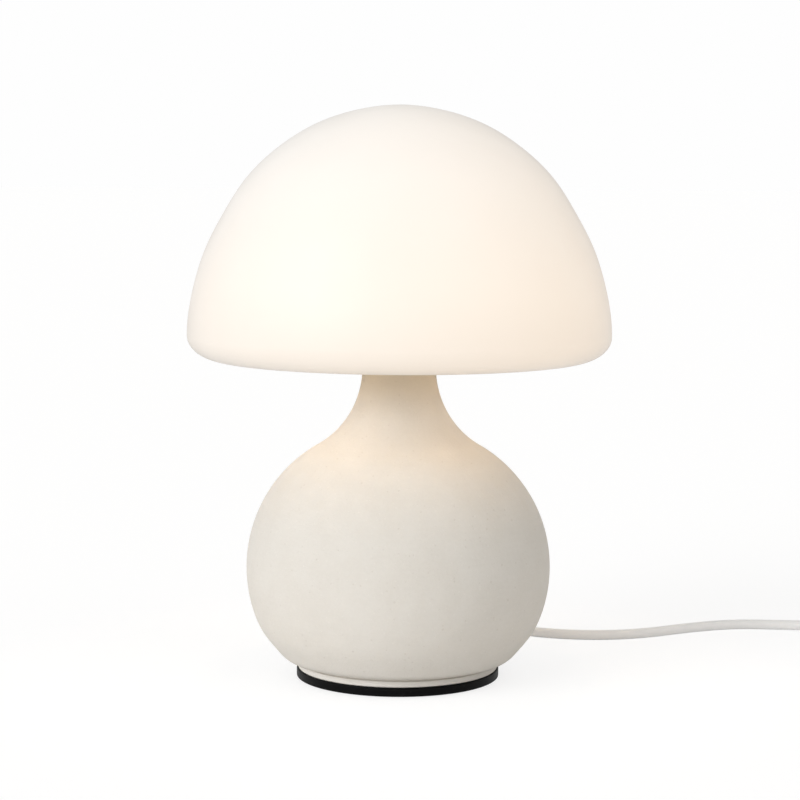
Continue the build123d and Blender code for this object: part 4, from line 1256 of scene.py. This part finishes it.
@dataclass
class ScrewLamp(Assembly):
    """The small lit lamp: rolled cap, housing, board and opal globe."""

    dressing: Dressing = (
        (Palette.nickel, "bulb_tip"),
        (Palette.black_insulator, "bulb_insulator"),
        (Palette.gloss_white, "bulb_housing"),
        (Palette.board_white, "led_board"),
        (Palette.chip_yellow, "led_chips"))
    sheet: float = 0.0004
    thread_pitch: float = 0.0028
    thread_depth: float = 0.00038
    cap_taper: float = 0.0012
    cap_edge: float = 0.0008
    thread_end: float = 0.0010
    outline_step: float = 0.0003
    globe_wall: float = 0.0012

    def add_pieces(self) -> None:
        """Turns the rolled cap and the globe."""
        settle(self.rolled_cap(), "lamp", Palette.nickel, "bulb_cap")
        settle(self.globe(), "lamp", Palette.lamp_glass, "bulb_globe")

    def rolled_cap(self) -> Object:
        """The thin cap, whose thread is rolled into the sheet.

        Returns:
            The piece, at the origin.
        """
        low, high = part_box("bulb_cap")
        radius, bottom, top = high.x - self.thread_depth, low.z, high.z
        outer = even_steps([(radius - self.cap_taper, bottom), (radius, bottom + self.cap_edge),
                            (radius, top - self.cap_edge), (high.x, top)], self.outline_step)
        inner = [(one - self.sheet, height) for one, height in outer[::-1]]
        thread = Thread(self.thread_pitch, self.thread_depth, bottom + self.cap_taper, top - self.thread_end)
        return turn("rolled_cap", [*outer, *inner, outer[0]], Palette.nickel, segments=72, thread=thread)

    def globe(self) -> Object:
        """The globe, from its mouth in the housing over the top.

        Returns:
            The piece, at the origin.
        """
        low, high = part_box("bulb_globe")
        radius, inner = high.x, high.x - self.globe_wall
        middle = high.z - radius
        mouth, back_mouth = (math.degrees(math.asin((low.z - middle) / one)) for one in (radius, inner))
        front = arc((0.0, middle), radius, mouth, 90, 48)
        back = arc((0.0, middle), inner, 90, back_mouth, 48)
        front[-1], back[0] = (0.0, middle + radius), (0.0, middle + inner)
        return turn("opal_globe", [*front, *back, front[0]], Palette.lamp_glass, segments=96)


@dataclass
class MainsLead(Assembly):
    """The lead: straight out of its bushing, along the table to the switch, coiled, and into the plug."""

    dressing: Dressing = (
        (Palette.cord_white, "cord_bushing", "cord_inner"),
        (Palette.wire_brown, "wire_brown"),
        (Palette.wire_blue, "wire_blue"))
    radius: float = 0.0029
    exit_height: float = 0.0101
    points_per_turn: int = 16
    layer_turns: int = 3
    coil_middle: Point = (0.414, 0.074)
    coil_radius: float = 0.044
    coil_pitch: float = 0.0064
    climb_draw: float = 0.001
    run_length: float = 0.355
    wound_length: float = 1.52
    rib_count: int = 6
    rib_round: float = 0.0006
    rib_radii: Point = (0.00445, 0.00375)
    rib_margins: Point = (0.003, 0.0025)
    bushing_tail: float = 0.022
    switch_pieces: tuple[str, ...] = (
        "switch_base", "switch_cover", "switch_rocker", "rocker_pin", "switch_screws", "switch_seesaw",
        "seesaw_post", "fixed_contact", "switch_wires")
    plug_pieces: tuple[str, ...] = ("plug_body", "plug_pins", "pin_sleeves")

    def add_pieces(self) -> None:
        """Ribs the bushing and lays both stretches."""
        self.bushing_ribs()
        run = self.lay("lead_to_switch", self.run_route(), "cord_run")
        wound = self.lay("lead_to_plug", self.wound_route(), "cord_link", "cord_coil", "cord_tail")
        self.wound_route()[0]

    def run_route(self) -> list[Place]:
        """The points from the bushing to the switch.

        Returns:
            Its control points.
        """
        low = self.radius
        return [
            (0.0, 0.088, self.exit_height), (0.0, 0.103, self.exit_height), (0.003, 0.122, 0.0056),
            (0.015, 0.139, low), (0.036, 0.144, low), (0.054, 0.134, low), (0.0655, 0.1185, low),
            (0.079, 0.105, low), (0.099, 0.0978, low), (0.122, 0.0955, low), (0.148, 0.1025, low),
            (0.177, 0.1205, low), (0.205, 0.132, low), (0.233, 0.1295, low), (0.252, 0.1205, 0.0046),
            (0.268, 0.118, 0.008), (0.289, 0.118, 0.008),
        ]

    def wound_route(self) -> list[Place]:
        """The points from the switch to the coil, its turns, and the points on to the plug.

        Returns:
            Its control points.
        """
        low = self.radius
        high = low + self.coil_pitch
        link = [(0.333, 0.118, 0.008), (0.354, 0.118, 0.008), (0.372, 0.1165, 0.0044), (0.390, 0.118, low),
                (0.4082, 0.118, low)]
        tail = [(0.4082, 0.030, high), (0.392, 0.030, high), (0.372, 0.0316, 0.00725),
                (0.356, 0.033, 0.00685), (0.346, 0.033, 0.00685)]
        count = round(self.coil_turns() * self.points_per_turn)
        return link + [self.coil_place((index + 0.5) / self.points_per_turn) for index in range(count)] + tail

    def coil_turns(self) -> float:
        """How many turns the coil has: both layers, and the half turn between them."""
        return 2 * self.layer_turns + 0.5

    def coil_place(self, turn_count: float) -> Place:
        """A control point of the coil: in along the lower layer, up in half a turn, and out again.

        Args:
            turn_count: How many turns are behind it.

        Returns:
            The point, set out so that the curve between such points has the coil's own radius.
        """
        climb = min(max(turn_count - self.layer_turns, 0.0) * 2, 1.0)
        turns_in = min(turn_count, self.layer_turns, self.coil_turns() - turn_count)
        reach = self.coil_radius - self.coil_pitch * turns_in - self.climb_draw * math.sin(math.pi * climb)
        reach /= math.cos(math.pi / self.points_per_turn)
        height = self.radius + self.coil_pitch * (1 - math.cos(math.pi * climb)) / 2
        angle = math.pi / 2 - FULL_TURN * turn_count
        x, y = self.coil_middle
        return (x + reach * math.cos(angle), y + reach * math.sin(angle), height)

    def lay(self, name: str, route: Sequence[Place], *nodes: str) -> Object:
        """Makes one smooth stretch of lead along its control points.

        Args:
            name: The piece's name.
            route: Its control points.
            nodes: The CAD nodes that it replaces.

        Returns:
            The piece, riding on the base.
        """
        line = bpy.data.curves.new(name, "CURVE")
        line.dimensions = "3D"
        line.bevel_depth = self.radius
        line.bevel_resolution = line.resolution_u = 6
        line.use_fill_caps = True
        spline = line.splines.new("NURBS")
        spline.points.add(len(route) - 1)
        for point, where in zip(spline.points, route):
            point.co = (*where, 1.0)
        spline.order_u = 3
        spline.use_endpoint_u = spline.use_smooth = True
        line.materials.append(Palette.cord_white.material())
        return settle(place_object(name, line), "base", Palette.cord_white, *nodes)

    def bushing_ribs(self) -> None:
        """The ribs round the tapered tail of the bushing."""
        _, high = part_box("cord_bushing")
        start = Vector((0.0, high.y - self.bushing_tail + self.rib_margins[0], self.exit_height))
        ribs = Trees.rib_row.bake("bushing_ribs", {
            "Count": self.rib_count, "Start": start, "Length": self.bushing_tail - sum(self.rib_margins),
            "First Radius": self.rib_radii[0], "Last Radius": self.rib_radii[1], "Rib": self.rib_round,
        }, Palette.cord_white)
        settle(ribs, "base", Palette.cord_white)


@dataclass
class InlineSwitch(Assembly):
    """The rocker switch on the lead."""

    dressing: Dressing = (
        (Palette.white_plastic, "switch_base", "switch_cover"),
        (Palette.gloss_white, "switch_rocker"),
        (Palette.zinc_steel, "switch_screws", "rocker_pin"),
        (Palette.brass, "switch_seesaw", "seesaw_post", "fixed_contact"),
        (Palette.wire_brown, "switch_wires"))
    pivot: Place = (0.311, 0.118, 0.0126)
    tilt: float = math.radians(10)
    crest: float = 0.0026
    end_rise: float = 0.0012
    half_length: float = 0.0097
    bar_count: int = 3
    bar_step: float = 0.0013
    bar_length: float = 0.0066
    bar_radius: float = 0.00035
    first_bar: float = 0.0050

    def add_pieces(self) -> None:
        """Sets the feel bars on the rocker."""
        for side, name in ((-1, "rocker_bars_off"), (1, "rocker_bars_on")):
            settle(self.bars(name, side), "rocker", Palette.gloss_white)

    def bars(self, name: str, side: int) -> Object:
        """Three low bars across one end of the rocker.

        Args:
            name: The piece's name.
            side: -1 for the end nearer the lamp, 1 for the other.

        Returns:
            The piece, in the rocker's rest pose.
        """
        slope = self.end_rise / self.half_length
        across = self.first_bar if side > 0 else -self.first_bar - self.bar_step * (self.bar_count - 1)
        height = self.crest + slope * abs(across)
        x = self.pivot[0] + across * math.cos(self.tilt) + height * math.sin(self.tilt)
        z = self.pivot[2] - across * math.sin(self.tilt) + height * math.cos(self.tilt)
        return Trees.bar_row.bake(name, {
            "Count": self.bar_count, "Step": self.bar_step, "Bar Length": self.bar_length,
            "Bar Radius": self.bar_radius, "Start": Vector((x, self.pivot[1], z)),
            "Tilt": self.tilt - side * math.atan(slope),
        }, Palette.gloss_white)


@dataclass
class MainsPlug(Assembly):
    """The flat two-pin plug."""

    dressing: Dressing = (
        (Palette.white_plastic, "plug_body"),
        (Palette.nickel, "plug_pins"),
        (Palette.black_insulator, "pin_sleeves"))


# ---- Studio --------------------------------------------------------------------------------------
@dataclass(frozen=True)
class Sun:
    """A wide, soft sun: its strength, how many degrees wide it looks, where it shines from and its colour."""

    name: str
    strength: float
    width: float
    start: Place
    colour: Colour = WHITE

    def build(self) -> None:
        """Adds the sun to the scene."""
        light = bpy.data.lights.new(self.name, "SUN")
        light.color, light.energy, light.angle = self.colour, self.strength, math.radians(self.width)
        stand = place_object(self.name, light)
        stand.location = self.start
        stand.rotation_euler = Vector(self.start).to_track_quat("Z", "Y").to_euler()


@dataclass
class Studio:
    """A white floor, one wide soft sun from the left, a weak warm one from the right, and the camera."""

    camera_place: Place = (0.0005, -1.22589, 0.27782)
    pitch_down: float = 5.846
    roll: float = 0.33
    lens: float = 101.83
    sensor: float = 36.0
    sight: float = 200.0
    ambient: Colour = (0.450, 0.449, 0.446)
    backdrop: Colour = (0.991, 0.991, 0.991)
    key: Sun = Sun("key", 1.75, 42.0, (-0.69, -0.61, 0.37))
    fill: Sun = Sun("fill", 0.38, 50.0, (0.55, -0.42, 0.72), (1.0, 0.95, 0.87))
    floor_size: float = 60.0
    floor_colour: Colour = (0.93, 0.93, 0.93)
    floor_seen: Colour = (0.28, 0.28, 0.28)
    floor_lift: float = 0.7855

    def build(self) -> None:
        """Makes the floor, the world, both suns and the camera."""
        self.floor()
        self.world()
        self.key.build()
        self.fill.build()
        self.camera()

    def floor(self) -> None:
        """A white floor whose plain light is lifted to white for the camera, with its shadows kept."""
        material = bpy.data.materials.new("studio_floor")
        craft = NodeCraft(blank(material))
        colour = craft.mix(self.seen(craft), self.floor_colour, self.floor_seen)
        plain = craft.add("ShaderNodeBsdfDiffuse", {"Color": colour}).outputs[0]
        strength = craft.times(self.seen(craft), self.floor_lift)
        lift = craft.add("ShaderNodeEmission", {"Color": WHITE, "Strength": strength}).outputs[0]
        both = craft.add("ShaderNodeAddShader", {0: plain, 1: lift}).outputs[0]
        craft.add("ShaderNodeOutputMaterial", {"Surface": both})
        half = self.floor_size / 2
        mesh = bpy.data.meshes.new("floor")
        mesh.from_pydata([(-half, -half, 0), (half, -half, 0), (half, half, 0), (-half, half, 0)], [],
                         [(0, 1, 2, 3)])
        mesh.materials.append(material)
        place_object("floor", mesh)

    @staticmethod
    def seen(craft: NodeCraft) -> NodeSocket:
        """1 for the camera, reflections and what is seen through glass, and 0 for other light.

        Args:
            craft: The tree that asks.

        Returns:
            The mask's socket.
        """
        path = craft.add("ShaderNodeLightPath").outputs
        mirrored = craft.math("MAXIMUM", path["Is Glossy Ray"], path["Is Transmission Ray"])
        return craft.math("MAXIMUM", path["Is Camera Ray"], mirrored)

    def world(self) -> None:
        """White where it is seen, and a plain grey light elsewhere."""
        world = bpy.data.worlds.new("studio_world")
        craft = NodeCraft(blank(world))
        colour = craft.mix(self.seen(craft), self.ambient, self.backdrop)
        back = craft.add("ShaderNodeBackground", {"Color": colour}).outputs[0]
        craft.add("ShaderNodeOutputWorld", {"Surface": back})
        bpy.context.scene.world = world

    def camera(self) -> None:
        """The camera in front of the lamp, a little above it and looking slightly down."""
        lens = bpy.data.cameras.new("camera")
        lens.lens = self.lens
        lens.sensor_width = self.sensor
        lens.clip_end = self.sight
        camera = place_object("camera", lens)
        camera.location = self.camera_place
        level = Euler((math.radians(90 - self.pitch_down), 0.0, 0.0)).to_matrix()
        camera.rotation_euler = (level @ Euler((0.0, 0.0, math.radians(self.roll))).to_matrix()).to_euler()
        bpy.context.scene.camera = camera


def main() -> None:
    """Builds every sub-assembly in order and reports it."""
    logging.basicConfig(level=logging.INFO, format="%(message)s", force=True)
    bpy.context.scene.view_settings.view_transform = "Standard"
    for part in (Studio(), MainsLead(), GlassShade(), StonewareBody(), Foot(), Stem(), ShadeCarrier(),
                 LampHolder(), ScrewLamp(), InlineSwitch(), MainsPlug()):
        part.build()
        log.info("built %s", type(part).__name__)


if __name__ == "__main__":
    main()
